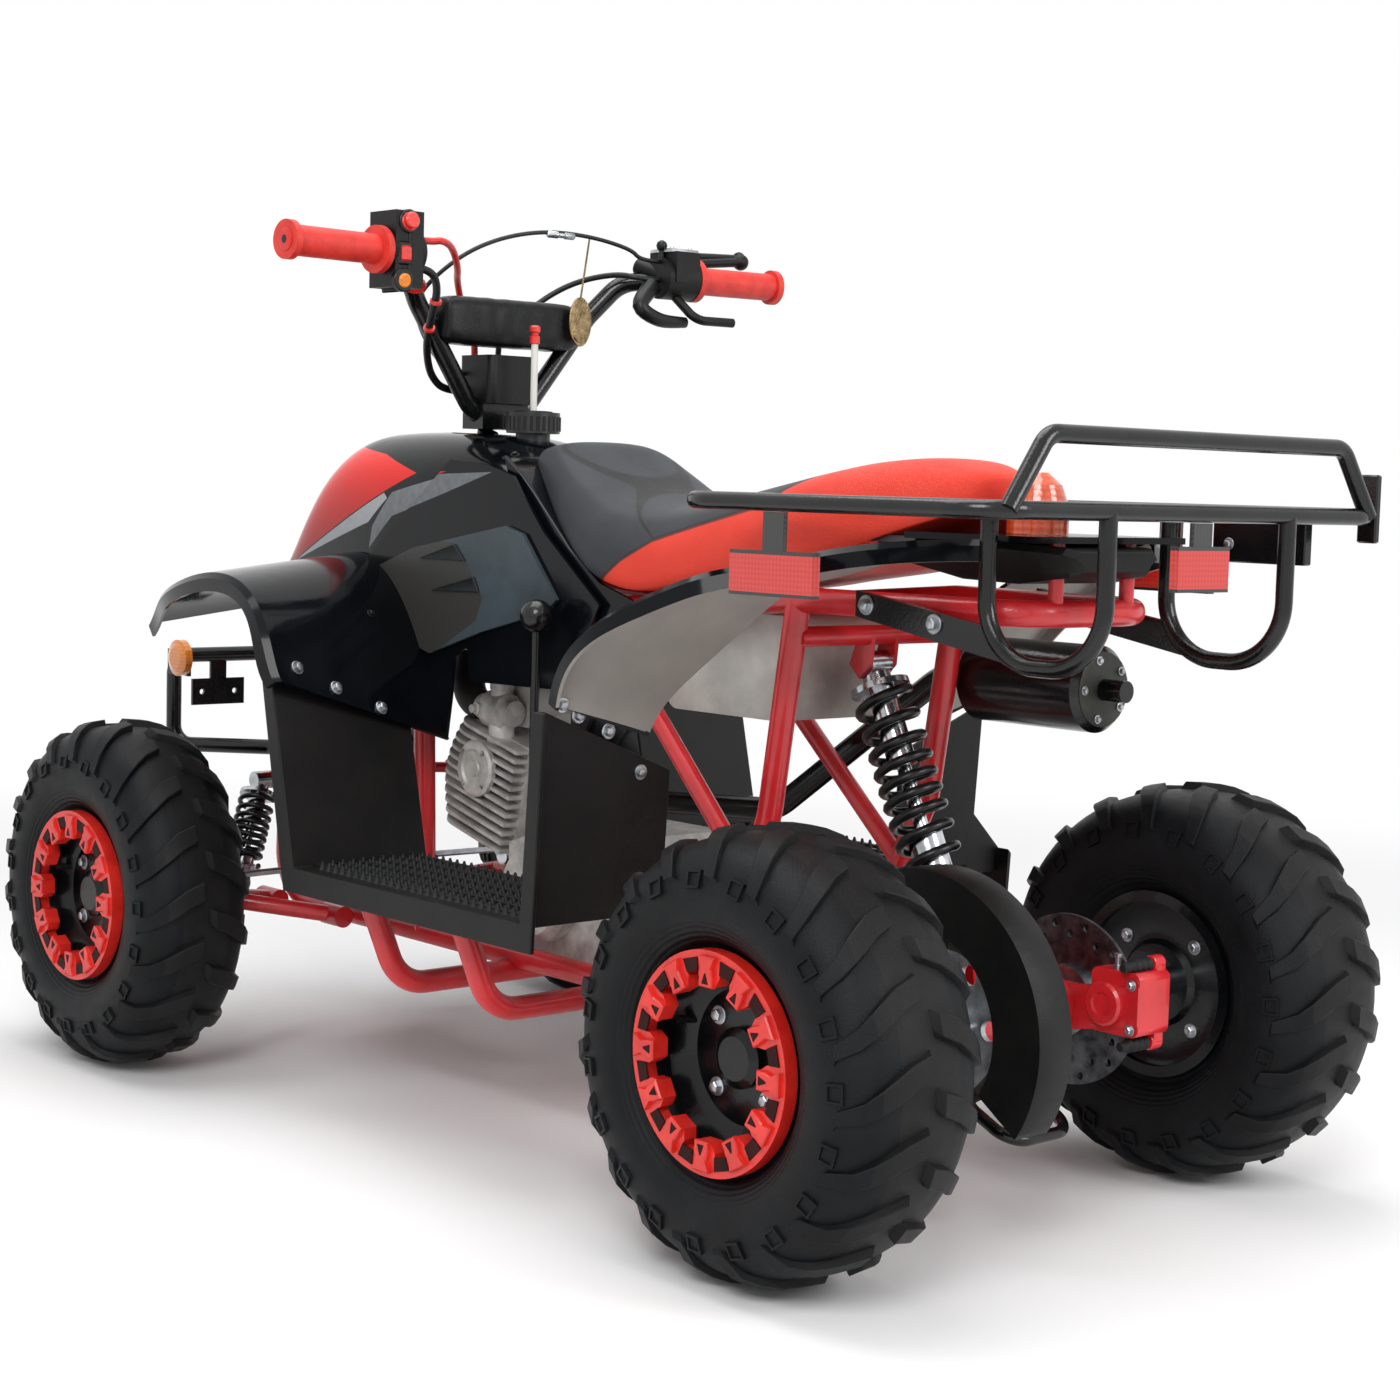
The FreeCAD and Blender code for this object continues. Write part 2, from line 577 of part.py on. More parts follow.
def front_arms():
    arms = []
    for side in SIDES:
        shapes = []
        for fore in (0, 1):
            bush = arm_bush(side, fore)
            half = way(ARM_BUSH_LENGTH / 2, 0, 0)
            shapes.append(rod(bush - half, bush + half, ARM_BUSH))
            shapes.append(rod(bush, arm_outer(side), ARM_TUBE))
        shapes.append(rod(arm_point(side, 0, ARM_SHOCK_PLACE), arm_point(side, 1, ARM_SHOCK_PLACE), ARM_TUBE))
        shapes.append(disc(kingpin(side), (0, 0, 1), KINGPIN_HOUSING, KINGPIN_LENGTH))
        bore = disc(kingpin(side), (0, 0, 1), KINGPIN_DIAMETER + 2 * PIN_CLEARANCE, 2 * KINGPIN_LENGTH)
        arms.append(fused(shapes).cut(bore))
    parts['front_arms'] = arms


# Knuckles: a fork over the kingpin housing, the stub axle, and the steering arm with its ball stud

EAR_THICKNESS = 9
EAR_WIDTH = 34
STEERING_ARM_LENGTH = 56
STEERING_ARM_TOE = -6
TIE_ROD_HEIGHT = 218
TIE_ROD_DIAMETER = 8
TIE_STUD = 8
TIE_EYE_BORE = 12
TIE_EYE = 26
TIE_EYE_THICKNESS = 10


def tie_outer(side):
    pin = kingpin(side)
    return FreeCAD.Vector(pin.x - STEERING_ARM_LENGTH, pin.y - side * STEERING_ARM_TOE, TIE_ROD_HEIGHT)


def knuckle(side):
    pin = kingpin(1)
    reach = KINGPIN_LENGTH / 2 + RUNNING_CLEARANCE
    shapes = []
    for way_up in SIDES:
        middle = pin + way(0, 0, way_up * (reach + EAR_THICKNESS / 2))
        shapes.append(disc(middle, (0, 0, 1), EAR_WIDTH, EAR_THICKNESS))
        low = middle + way(-EAR_WIDTH / 2, 0, -EAR_THICKNESS / 2)
        shapes.append(Part.makeBox(EAR_WIDTH, EAR_WIDTH / 2 + EAR_THICKNESS, EAR_THICKNESS, low))
    web = pin + way(-EAR_WIDTH / 2, EAR_WIDTH / 2, -reach - EAR_THICKNESS)
    shapes.append(Part.makeBox(EAR_WIDTH, EAR_THICKNESS, 2 * (reach + EAR_THICKNESS), web))
    shapes.append(rod(pin - way(0, 0, reach + EAR_THICKNESS), pin + way(0, 0, reach + EAR_THICKNESS),
                      KINGPIN_DIAMETER))
    root = pin + way(0, EAR_WIDTH / 2, 0)
    tip = at(FRONT_AXLE, FRONT_TRACK / 2 + DISC_OFFSET, TYRE_RADIUS)
    shoulder = at(FRONT_AXLE, FRONT_TRACK / 2 + DISC_OFFSET - FRONT_HUB_LENGTH - WORKING_CLEARANCE,
                  TYRE_RADIUS)
    shapes.append(rod(root, tip, SPINDLE_DIAMETER))
    shapes.append(rod(root, shoulder, SPINDLE_DIAMETER * 1.6))
    top = reach + EAR_THICKNESS / 2
    end = tie_outer(1)
    start = pin + way(0, 0, top)
    across = way(-STEERING_ARM_TOE, STEERING_ARM_LENGTH, 0).normalize() * (EAR_WIDTH / 4)
    over = FreeCAD.Vector(end.x, end.y, start.z)
    low = way(0, 0, -EAR_THICKNESS / 2)
    shapes.append(plate([start + across * 1.6 + low, over + across + low, over - across + low,
                         start - across * 1.6 + low], way(0, 0, EAR_THICKNESS)))
    shapes.append(disc(over, (0, 0, 1), EAR_WIDTH / 2, EAR_THICKNESS))
    shapes.append(rod(over, end - way(0, 0, TIE_EYE_THICKNESS), TIE_STUD))
    whole = fused(shapes)
    return whole if side > 0 else mirrored(whole)


# Steering: stem with its drop arm, tie rods, handlebar with its clamp, pad, grips and controls

DROP_ARM_HEIGHT = 236
DROP_ARM_LENGTH = 50
DROP_ARM_THICKNESS = 7
DROP_ARM_WIDTH = 26
DROP_PIN_SPREAD = 10
DROP_EYE = 18
BAR_DIAMETER = 22
BAR_BEND = 45
BAR_RISE = 173
BAR_HEIGHT = BAR_BASE_HEIGHT + BAR_RISE
BAR_WIDTH = 704
BAR_AHEAD = 288
GRIP_LENGTH = 128
GRIP_DIAMETER = 33
GRIP_FLANGE = 52
GRIP_END = 42
GRIP_FLANGE_THICKNESS = 8
CLAMP_WIDTH = 66
CLAMP_THICKNESS = 14

# Half of the handlebar: shares of the half width to the side, of the rise to the grips, of the sweep back
BAR_shares = ((0.09, 0.0, 0.0), (0.352, 0.72, 0.125), (0.449, 0.97, 0.344), (0.611, 1.0, 0.865),
              (1.0, 1.0, 1.0))
BAR_SWEEP = 96
BAR_CROSS_share = 0.8


def drop_arm_back():
    """The direction from the stem to the drop arm's eyes: square to the stem, to the rear."""
    back = way(0, 1, 0).cross(STEM_AXIS)
    return back if back.x < 0 else back * -1


def tie_inner(side):
    base = stem_place(DROP_ARM_HEIGHT) + drop_arm_back() * DROP_ARM_LENGTH
    return base + way(0, side * DROP_PIN_SPREAD, 0)


def steering_stem():
    foot = stem_place(STEM_FOOT_HEIGHT)
    top = stem_place(STEM_TOP_HEIGHT)
    shapes = [rod(foot, top, STEM_DIAMETER)]
    centre = stem_place(DROP_ARM_HEIGHT)
    back = drop_arm_back()
    half = STEM_AXIS * (DROP_ARM_THICKNESS / 2)
    across = way(0, DROP_ARM_WIDTH / 2, 0)
    tip = centre + back * (DROP_ARM_LENGTH + DROP_EYE / 2)
    shapes.append(disc(centre, tuple(STEM_AXIS), STEM_DIAMETER * 1.6, DROP_ARM_THICKNESS))
    shapes.append(plate([centre + across - half, tip + across * 1.4 - half, tip - across * 1.4 - half,
                         centre - across - half], STEM_AXIS * DROP_ARM_THICKNESS))
    for side in SIDES:
        pin = tie_inner(side)
        shapes.append(rod(pin, pin + STEM_AXIS * (DROP_ARM_THICKNESS / 2 + 1.6 * TIE_EYE_THICKNESS),
                          TIE_STUD))
    clamp = at(BAR_AHEAD, 0, BAR_BASE_HEIGHT)
    low = clamp - way(BAR_DIAMETER * 0.8, CLAMP_WIDTH / 2, CLAMP_THICKNESS)
    high = clamp + way(BAR_DIAMETER, CLAMP_WIDTH / 2, BAR_DIAMETER * 0.7)
    saddle = block(low, high).cut(bar_shape(RUNNING_CLEARANCE))
    parts['steering_stem'] = [fused(shapes + [saddle])]


def tie_rod(side):
    inner = tie_inner(side) + STEM_AXIS * (DROP_ARM_THICKNESS / 2 + RUNNING_CLEARANCE + TIE_EYE_THICKNESS / 2)
    outer = tie_outer(side)
    axis = tuple(STEM_AXIS)
    shapes = [disc(inner, axis, DROP_EYE, TIE_EYE_THICKNESS),
              disc(outer, (0, 0, 1), TIE_EYE, TIE_EYE_THICKNESS),
              rod(inner, outer, TIE_ROD_DIAMETER)]
    bores = [disc(inner, axis, TIE_STUD + 2 * PIN_CLEARANCE, 3 * TIE_EYE_THICKNESS),
             disc(outer, (0, 0, 1), TIE_EYE_BORE, 3 * TIE_EYE_THICKNESS)]
    return fused(shapes).cut(bores)


def bar_points():
    points = []
    for across, rise, sweep in BAR_shares:
        points.append(at(BAR_AHEAD - sweep * BAR_SWEEP, across * BAR_WIDTH / 2,
                         BAR_BASE_HEIGHT + rise * (BAR_HEIGHT - BAR_BASE_HEIGHT)))
    return points


def bar_end(side):
    end, before = bar_points()[-1], bar_points()[-2]
    run = (end - before).normalize()
    return (end, run) if side > 0 else (FreeCAD.Vector(end.x, -end.y, end.z), way(run.x, -run.y, run.z))


def bar_shape(gap):
    """The bar with its cross tube, wider all round by a gap."""
    left = bar_points()
    right = [FreeCAD.Vector(p.x, -p.y, p.z) for p in left]
    bar = tube(list(reversed(left)) + right, BAR_DIAMETER + 2 * gap, BAR_BEND)
    joint = left[0] + (left[1] - left[0]) * ((PAD_HEIGHT - left[0].z) / (left[1].z - left[0].z))
    cross = rod(joint, FreeCAD.Vector(joint.x, -joint.y, joint.z), BAR_DIAMETER * BAR_CROSS_share + 2 * gap)
    return fused([bar, cross])


def handlebar():
    parts['handlebar'] = [bar_shape(0)]


PAD_RISE = 109
PAD_HEIGHT = BAR_BASE_HEIGHT + PAD_RISE
PAD_LENGTH = 196
PAD_DEPTH = 50
PAD_THICKNESS = 58


def bar_pad():
    low, high = bar_points()[:2]
    joint = low + (high - low) * ((PAD_HEIGHT - low.z) / (high.z - low.z))
    low = way(joint.x - PAD_DEPTH / 2, -PAD_LENGTH / 2, PAD_HEIGHT - PAD_THICKNESS / 2)
    pad = Part.makeBox(PAD_DEPTH, PAD_LENGTH, PAD_THICKNESS, low)
    pad = pad.makeFillet(PAD_DEPTH * 0.3, [e for e in pad.Edges if abs(e.tangentAt(0).y) > 0.9])
    parts['bar_pad'] = [pad.cut(bar_shape(RUNNING_CLEARANCE))]


def grips():
    pair = []
    for side in SIDES:
        end, run = bar_end(side)
        inner = end - run * GRIP_LENGTH
        shapes = [rod(inner, end, GRIP_DIAMETER),
                  rod(inner, inner + run * GRIP_FLANGE_THICKNESS, GRIP_FLANGE),
                  rod(end - run * GRIP_FLANGE_THICKNESS, end, GRIP_END)]
        pair.append(fused(shapes).cut(rod(inner - run * OVERRUN, end + run * OVERRUN,
                                          BAR_DIAMETER + 2 * RUNNING_CLEARANCE)))
    parts['grips'] = pair


SWITCH_LENGTH = 46
SWITCH_SIZE = 50
SWITCH_BODY_shares = {1: (0.80, 1.65), -1: (0.10, 0.72)}
BRAKE_LEVER_LENGTH = 150
BRAKE_LEVER_THICKNESS = 11
BRAKE_LEVER_BALL = 20
MASTER_SIZE = 40
THROTTLE_LENGTH = 78


def bar_controls():
    """Switch box on the left; on the right the throttle box, the brake lever's bracket and levers."""
    controls = []
    for side in SIDES:
        end, run = bar_end(side)
        near = end - run * (GRIP_LENGTH + RUNNING_CLEARANCE)
        far = near - run * SWITCH_LENGTH
        drum = rod(far, near, SWITCH_SIZE)
        middle = (far + near) * 0.5
        foot, tall = SWITCH_BODY_shares[side]
        low = middle - way(SWITCH_SIZE / 2, SWITCH_LENGTH * 0.4, SWITCH_SIZE * foot)
        body = Part.makeBox(SWITCH_SIZE, SWITCH_LENGTH * 0.8, SWITCH_SIZE * tall, low)
        shapes = [drum, body]
        if side < 0:
            pivot = far + way(MASTER_SIZE, 0, MASTER_SIZE * 0.4)
            shapes.append(rod(far + run * MASTER_SIZE / 3, pivot, MASTER_SIZE * 0.5))
            tip = pivot + run * BRAKE_LEVER_LENGTH + way(-0.04 * BRAKE_LEVER_LENGTH, 0,
                                                         0.10 * BRAKE_LEVER_LENGTH)
            shapes.append(rod(pivot, tip, BRAKE_LEVER_THICKNESS))
            shapes.append(Part.makeSphere(BRAKE_LEVER_BALL / 2, tip))
            heel = far + run * SWITCH_LENGTH * 0.4 + way(-0.1 * SWITCH_SIZE, 0, -0.4 * SWITCH_SIZE)
            elbow = heel + run * THROTTLE_LENGTH * 0.15 + way(-0.35 * THROTTLE_LENGTH, 0,
                                                              -0.38 * THROTTLE_LENGTH)
            thumb = elbow + run * THROTTLE_LENGTH * 0.7
            shapes.append(tube([heel, elbow, thumb], BRAKE_LEVER_THICKNESS, THROTTLE_LENGTH / 4))
        whole = fused(shapes)
        controls.append(whole.cut(bar_shape(RUNNING_CLEARANCE)))
    parts['bar_controls'] = controls


DASH_DEPTH = 64
DASH_HEIGHT = 56
DASH_CORNER = 9


def dash_box():
    """A moulded cover that sits on the bar clamp, with a lid."""
    base = at(BAR_AHEAD, 0, BAR_BASE_HEIGHT + BAR_DIAMETER * 0.7 + RUNNING_CLEARANCE)
    low = base - way(DASH_DEPTH / 2, CLAMP_WIDTH / 2, 0)
    box = Part.makeBox(DASH_DEPTH, CLAMP_WIDTH, DASH_HEIGHT, low)
    box = box.makeFillet(DASH_CORNER, [e for e in box.Edges if abs(e.tangentAt(0).z) > 0.9])
    parts['dash_box'] = [box.cut(bar_shape(RUNNING_CLEARANCE))]


# Cables and hoses from the controls to the box on the bar clamp. Each route starts square on the end
# of a control and ends square on the box: side of the control, place on its end face (of its size), face
# of the box, place on that face (of its size), then points as shares of the bar's sweep, width and rise
CORD_routes_shares = {
    'throttle_cable': (-1, 0.38, 'left', (0.30, 0.62), (
        (-0.76, -0.398, 1.179), (-0.583, -0.256, 1.249), (-0.448, -0.085, 1.26), (-0.3125, 0.085, 1.179),
        (-0.167, 0.222, 1.023), (0.15, 0.318, 0.763), (0.27, 0.261, 0.543))),
    'brake_hose': (-1, -0.05, 'top', (0.40, -0.30), (
        (-0.50, -0.392, 1.02), (-0.05, -0.315, 0.965), (0.24, -0.228, 0.83), (0.30, -0.13, 0.65))),
    'wire_loom': (1, -0.30, 'left', (0.34, 0.25), (
        (-0.75, 0.392, 0.792), (-0.542, 0.375, 0.636), (-0.27, 0.341, 0.486), (-0.02, 0.29, 0.358),
        (0.177, 0.233, 0.254))),
    'red_hose': (1, 0.30, 'top', (0.38, 0.24), (
        (-0.86, 0.402, 1.10), (-0.60, 0.31, 1.08), (-0.26, 0.22, 0.965), (0.12, 0.15, 0.91),
        (0.34, 0.08, 0.72))),
}
CORD_DIAMETERS = {'throttle_cable': 5, 'brake_hose': 7, 'wire_loom': 9, 'red_hose': 8}
CORD_END_RUN = 28
CORD_BEND = 400


def cords():
    base = BAR_BASE_HEIGHT + BAR_DIAMETER * 0.7 + RUNNING_CLEARANCE
    for name, (side, place, face, spot, shares) in CORD_routes_shares.items():
        end, run = bar_end(side)
        start = end - run * (GRIP_LENGTH + RUNNING_CLEARANCE + SWITCH_LENGTH) + way(0, 0, place * SWITCH_SIZE)
        points = [start, start - run * CORD_END_RUN]
        for ahead, left, up in shares:
            height = BAR_BASE_HEIGHT + up * BAR_RISE
            points.append(at(BAR_AHEAD + ahead * BAR_SWEEP, left * BAR_WIDTH / 2, height))
        if face == 'left':
            last = at(BAR_AHEAD + spot[0] * DASH_DEPTH, CLAMP_WIDTH / 2, base + spot[1] * DASH_HEIGHT)
            out = way(0, CORD_END_RUN, 0)
        else:
            last = at(BAR_AHEAD + spot[0] * DASH_DEPTH, spot[1] * CLAMP_WIDTH, base + DASH_HEIGHT)
            out = way(0, 0, CORD_END_RUN)
        points += [last + out, last]
        parts[name] = [tube(points, CORD_DIAMETERS[name], CORD_BEND)]


# Dampers with coil springs: two in front, one at the back

DAMPER_ROD_share = 0.36
DAMPER_TOP_share = 0.42
SPRING_COILS = 7
FRONT_SPRING = 46
FRONT_DAMPER = 30
REAR_SPRING = 62
REAR_DAMPER = 40
FRONT_EYE = 22
REAR_EYE = 28
FRONT_SHOCK_HEIGHT = 318
FRONT_SHOCK_OUT = 150
FRONT_SHOCK_AHEAD = 556
REAR_SHOCK_TOP_AHEAD = -345
REAR_SHOCK_FOOT_AHEAD = -455
REAR_SHOCK_FOOT_HEIGHT = 292
SHOCK_DROP = 30


def damper(top, foot, body, eye):
    """Eye, upper body, chromed lower body and eye, with a seat at each end of the spring."""
    run = (foot - top).normalize()
    length = (foot - top).Length
    shapes = [disc(top, (0, 1, 0), eye, eye), disc(foot, (0, 1, 0), eye, eye),
              rod(top, foot, body * DAMPER_ROD_share),
              rod(top + run * eye * 0.4, top + run * length * DAMPER_TOP_share, body * 0.72),
              rod(foot - run * length * 0.30, foot - run * eye * 0.4, body * 0.9)]
    for place in (eye * 0.8, length - eye * 0.95):
        shapes.append(rod(top + run * place, top + run * (place + body * 0.15), body * 1.5))
    return fused(shapes)


def spring(top, foot, body, eye, outer):
    """The coil spring's envelope, waisted between its turns, with the damper's body clear inside."""
    run = (foot - top).normalize()
    length = (foot - top).Length
    start = eye * 0.8 + body * 0.15 + RUNNING_CLEARANCE
    end = length - eye * 0.95 - RUNNING_CLEARANCE
    pitch = (end - start) / SPRING_COILS
    inner = body * 0.5
    points = [(start, inner), (start, outer / 2)]
    for coil in range(SPRING_COILS):
        points.append((start + pitch * (coil + 0.4), outer / 2))
        points.append((start + pitch * (coil + 0.6), inner + (outer / 2 - inner) * 0.35))
        points.append((start + pitch * (coil + 1), outer / 2))
    points.append((end, inner))
    return turned_along(points, top, run)


def turned_along(profile, start, run):
    """As turned, about an axis that leans to the side."""
    upright = turned(profile, way(0, 0, 0), (0, 0, 1))
    upright.Placement = FreeCAD.Placement(start, FreeCAD.Rotation(way(0, 0, 1), run))
    return upright


def shock_lines():
    """Top, foot, body, eye and spring diameter of each damper."""
    lines = []
    for side in SIDES:
        top = at(FRONT_SHOCK_AHEAD, side * FRONT_SHOCK_OUT, FRONT_SHOCK_HEIGHT)
        low = (arm_point(side, 0, ARM_SHOCK_PLACE) + arm_point(side, 1, ARM_SHOCK_PLACE)) * 0.5
        foot = low + way(0, 0, ARM_TUBE / 2 + FRONT_EYE / 2 + RUNNING_CLEARANCE)
        lines.append((top, foot, FRONT_DAMPER, FRONT_EYE, FRONT_SPRING))
    top = at(REAR_SHOCK_TOP_AHEAD, 0, SHOCK_CROSS_HEIGHT - SHOCK_DROP)
    foot = at(REAR_SHOCK_FOOT_AHEAD, 0, REAR_SHOCK_FOOT_HEIGHT)
    lines.append((top, foot, REAR_DAMPER, REAR_EYE, REAR_SPRING))
    return lines


def shocks():
    parts['shocks'] = [damper(top, foot, body, eye) for top, foot, body, eye, _ in shock_lines()]
    parts['shock_springs'] = [spring(*line) for line in shock_lines()]


# Swingarm: pivot tube, two legs, the axle's carrier and the damper's ears

PIVOT_TUBE = 34
PIVOT_HEIGHT = 200
PIVOT_AHEAD = -232
SWING_LEG = 30
SWING_LEG_PLACE = 38
CARRIER_DIAMETER = 56
CARRIER_LEFT = 53
CARRIER_RIGHT = 80
SHOCK_EAR_THICKNESS = 5


def swingarm():
    pivot = at(PIVOT_AHEAD, 0, PIVOT_HEIGHT)
    axle = at(REAR_AXLE, 0, TYRE_RADIUS)
    half = FRAME_WIDTH / 2 - FRAME_TUBE / 2 - RUNNING_CLEARANCE
    shapes = [rod(pivot - way(0, half, 0), pivot + way(0, half, 0), PIVOT_TUBE),
              rod(axle - way(0, CARRIER_RIGHT, 0), axle + way(0, CARRIER_LEFT, 0), CARRIER_DIAMETER)]
    for side in SIDES:
        across = way(0, side * SWING_LEG_PLACE, 0)
        shapes.append(rod(pivot + across, axle + across, SWING_LEG))
    foot = at(REAR_SHOCK_FOOT_AHEAD, 0, REAR_SHOCK_FOOT_HEIGHT)
    base = at(REAR_SHOCK_FOOT_AHEAD, 0, TYRE_RADIUS)
    shapes.append(rod(base - way(0, SWING_LEG_PLACE, 0), base + way(0, SWING_LEG_PLACE, 0), SWING_LEG))
    for side in SIDES:
        inner = side * (REAR_EYE / 2 + RUNNING_CLEARANCE + SHOCK_EAR_THICKNESS / 2) - SHOCK_EAR_THICKNESS / 2
        outline = [base + way(-SWING_LEG, inner, 0), base + way(SWING_LEG, inner, 0),
                   foot + way(REAR_EYE * 0.5, inner, REAR_EYE * 0.1),
                   foot + way(-REAR_EYE * 0.5, inner, REAR_EYE * 0.1)]
        shapes.append(plate([FreeCAD.Vector(p.x, inner, p.z) for p in outline],
                            way(0, SHOCK_EAR_THICKNESS, 0)))
    whole = fused(shapes)
    bore = rod(axle - way(0, 2 * CARRIER_RIGHT, 0), axle + way(0, 2 * CARRIER_LEFT, 0),
               AXLE_DIAMETER + 2 * RUNNING_CLEARANCE)
    parts['swingarm'] = [whole.cut(bore)]


# Final drive: chain, its guard, and the hoop that keeps stones off

CHAIN_HEIGHT = 11
CHAIN_PLATE = 2
CHAIN_CLEARANCE = 1
DRIVE_SPROCKET_RADIUS = 30
DRIVE_AHEAD = -70
DRIVE_HEIGHT = 232
CHAIN_PINS = 14
CHAIN_PIN = 7
CHAIN_CORNERS = 12


def stadium(radius_a, radius_b, start_a, start_b, thickness):
    """The outline of a belt round two wheels, as a solid across the vehicle."""
    run = start_b - start_a
    distance = run.Length
    lean = acos((radius_a - radius_b) / distance)
    base = atan2(run.z, run.x)
    corners = []
    for centre, radius, first, last in ((start_b, radius_b, base + lean, base - lean),
                                        (start_a, radius_a, base - lean, base + lean - 2 * pi)):
        for step in range(CHAIN_CORNERS + 1):
            turn = first + (last - first) * step / CHAIN_CORNERS
            corners.append(centre + way(radius * cos(turn), 0, radius * sin(turn)))
    return plate(corners, way(0, thickness, 0))


def chain():
    axle = at(REAR_AXLE, 0, TYRE_RADIUS)
    drive = at(DRIVE_AHEAD, 0, DRIVE_HEIGHT)
    shapes = []
    for side in SIDES:
        middle = side * (SPROCKET_THICKNESS / 2 + CHAIN_CLEARANCE + CHAIN_PLATE / 2)
        shift = way(0, SPROCKET_PLACE + middle - CHAIN_PLATE / 2, 0)
        outer = stadium(SPROCKET_RADIUS + CHAIN_HEIGHT / 2, DRIVE_SPROCKET_RADIUS + CHAIN_HEIGHT / 2,
                        axle + shift, drive + shift, CHAIN_PLATE)
        inner = stadium(SPROCKET_RADIUS - CHAIN_HEIGHT / 2, DRIVE_SPROCKET_RADIUS - CHAIN_HEIGHT / 2,
                        axle + shift, drive + shift, CHAIN_PLATE)
        shapes.append(outer.cut(inner))
    run = drive - axle
    lean = acos((SPROCKET_RADIUS - DRIVE_SPROCKET_RADIUS) / run.Length)
    base = atan2(run.z, run.x)
    reach = SPROCKET_THICKNESS / 2 + CHAIN_CLEARANCE + CHAIN_PLATE
    for side in SIDES:
        turn = base + side * lean
        out = way(cos(turn), 0, sin(turn))
        first, last = axle + out * SPROCKET_RADIUS, drive + out * DRIVE_SPROCKET_RADIUS
        for number in range(CHAIN_PINS // 2):
            share = (number + 2) / (CHAIN_PINS // 2 + 2)
            place = first + (last - first) * share + way(0, SPROCKET_PLACE, 0)
            shapes.append(rod(place - way(0, reach, 0), place + way(0, reach, 0), CHAIN_PIN))
    parts['chain'] = [fused(shapes)]


GUARD_RADIUS = 146
GUARD_WALL = 3
GUARD_LEFT = 108
GUARD_RIGHT = 64
GUARD_FROM = 76
GUARD_TO = 214
GUARD_SIDE_share = 0.62
GUARD_TAB = 16
GUARD_OVERLAP = 4


def sector(centre, radius, start, end, thickness):
    """A slice of a disc between two angles from straight ahead, its face across the vehicle."""
    points = []
    for turn in (start, (start + end) / 2, end):
        points.append(centre + way(radius * cos(radians(turn)), 0, radius * sin(radians(turn))))
    edges = [Part.LineSegment(centre, points[0]).toShape(), Part.Arc(*points).toShape(),
             Part.LineSegment(points[2], centre).toShape()]
    return Part.Face(Part.Wire(edges)).extrude(way(0, thickness, 0))


def chain_guard():
    """A pressed band round the back of the sprocket, with a flat outer cheek."""
    axle = at(REAR_AXLE, GUARD_RIGHT, TYRE_RADIUS)
    width = GUARD_LEFT - GUARD_RIGHT
    whole = sector(axle, GUARD_RADIUS, GUARD_FROM, GUARD_TO, width)
    hollow = sector(axle - way(0, OVERRUN, 0), GUARD_RADIUS - GUARD_WALL, GUARD_FROM - GUARD_OVERLAP,
                    GUARD_TO + GUARD_OVERLAP, width + OVERRUN - GUARD_WALL)
    whole = whole.cut([hollow, disc(axle, (0, 1, 0), 2 * GUARD_RADIUS * GUARD_SIDE_share, 4 * width)])
    high = TYRE_RADIUS + GUARD_RADIUS * sin(radians(GUARD_FROM))
    back = at(REAR_AXLE + GUARD_RADIUS * cos(radians(GUARD_FROM)) - GUARD_TAB / 2, 0, high)
    nose = at(REAR_SHOCK_FOOT_AHEAD + GUARD_RADIUS * 0.8, 0, high - GUARD_RADIUS * 0.16)
    drop = way(0, 0, -GUARD_WALL)
    strip = plate([way(p.x, GUARD_RIGHT, p.z) for p in (back, nose, nose + drop, back + drop)],
                  way(0, width, 0))
    leg = (TYRE_RADIUS + PIVOT_HEIGHT) / 2
    foot = way(nose.x - 2 * GUARD_TAB, SWING_LEG_PLACE + SWING_LEG / 2 + RUNNING_CLEARANCE, leg)
    tab = block(foot, way(foot.x + GUARD_TAB, foot.y + GUARD_WALL, nose.z))
    top = block(way(foot.x, foot.y, nose.z - GUARD_WALL),
                way(foot.x + GUARD_TAB, GUARD_RIGHT + GUARD_WALL, nose.z + GUARD_WALL))
    parts['chain_guard'] = [fused([whole, strip, tab, top])]


SKID_TUBE = 12
SKID_DROP = 108
SKID_BACK = 62
SKID_BEND = 30


def skid_hoop():
    points = []
    for side in SIDES:
        leg = [at(REAR_AXLE + SKID_BACK, SWING_LEG_PLACE, TYRE_RADIUS - SWING_LEG / 2 - SKID_TUBE * 0.5),
               at(REAR_AXLE - SKID_BACK * 0.2, SWING_LEG_PLACE * 1.15, TYRE_RADIUS - SKID_DROP * 0.8),
               at(REAR_AXLE - SKID_BACK, SWING_LEG_PLACE * 1.15, TYRE_RADIUS - SKID_DROP)]
        points += leg if side > 0 else [FreeCAD.Vector(p.x, -p.y, p.z) for p in reversed(leg)]
    parts['skid_hoop'] = [tube(points, SKID_TUBE, SKID_BEND)]


CALIPER_DEPTH = 46
CALIPER_LENGTH = 58
CALIPER_HEIGHT = 62
CALIPER_SLOT = 8
CALIPER_PLATE = 6


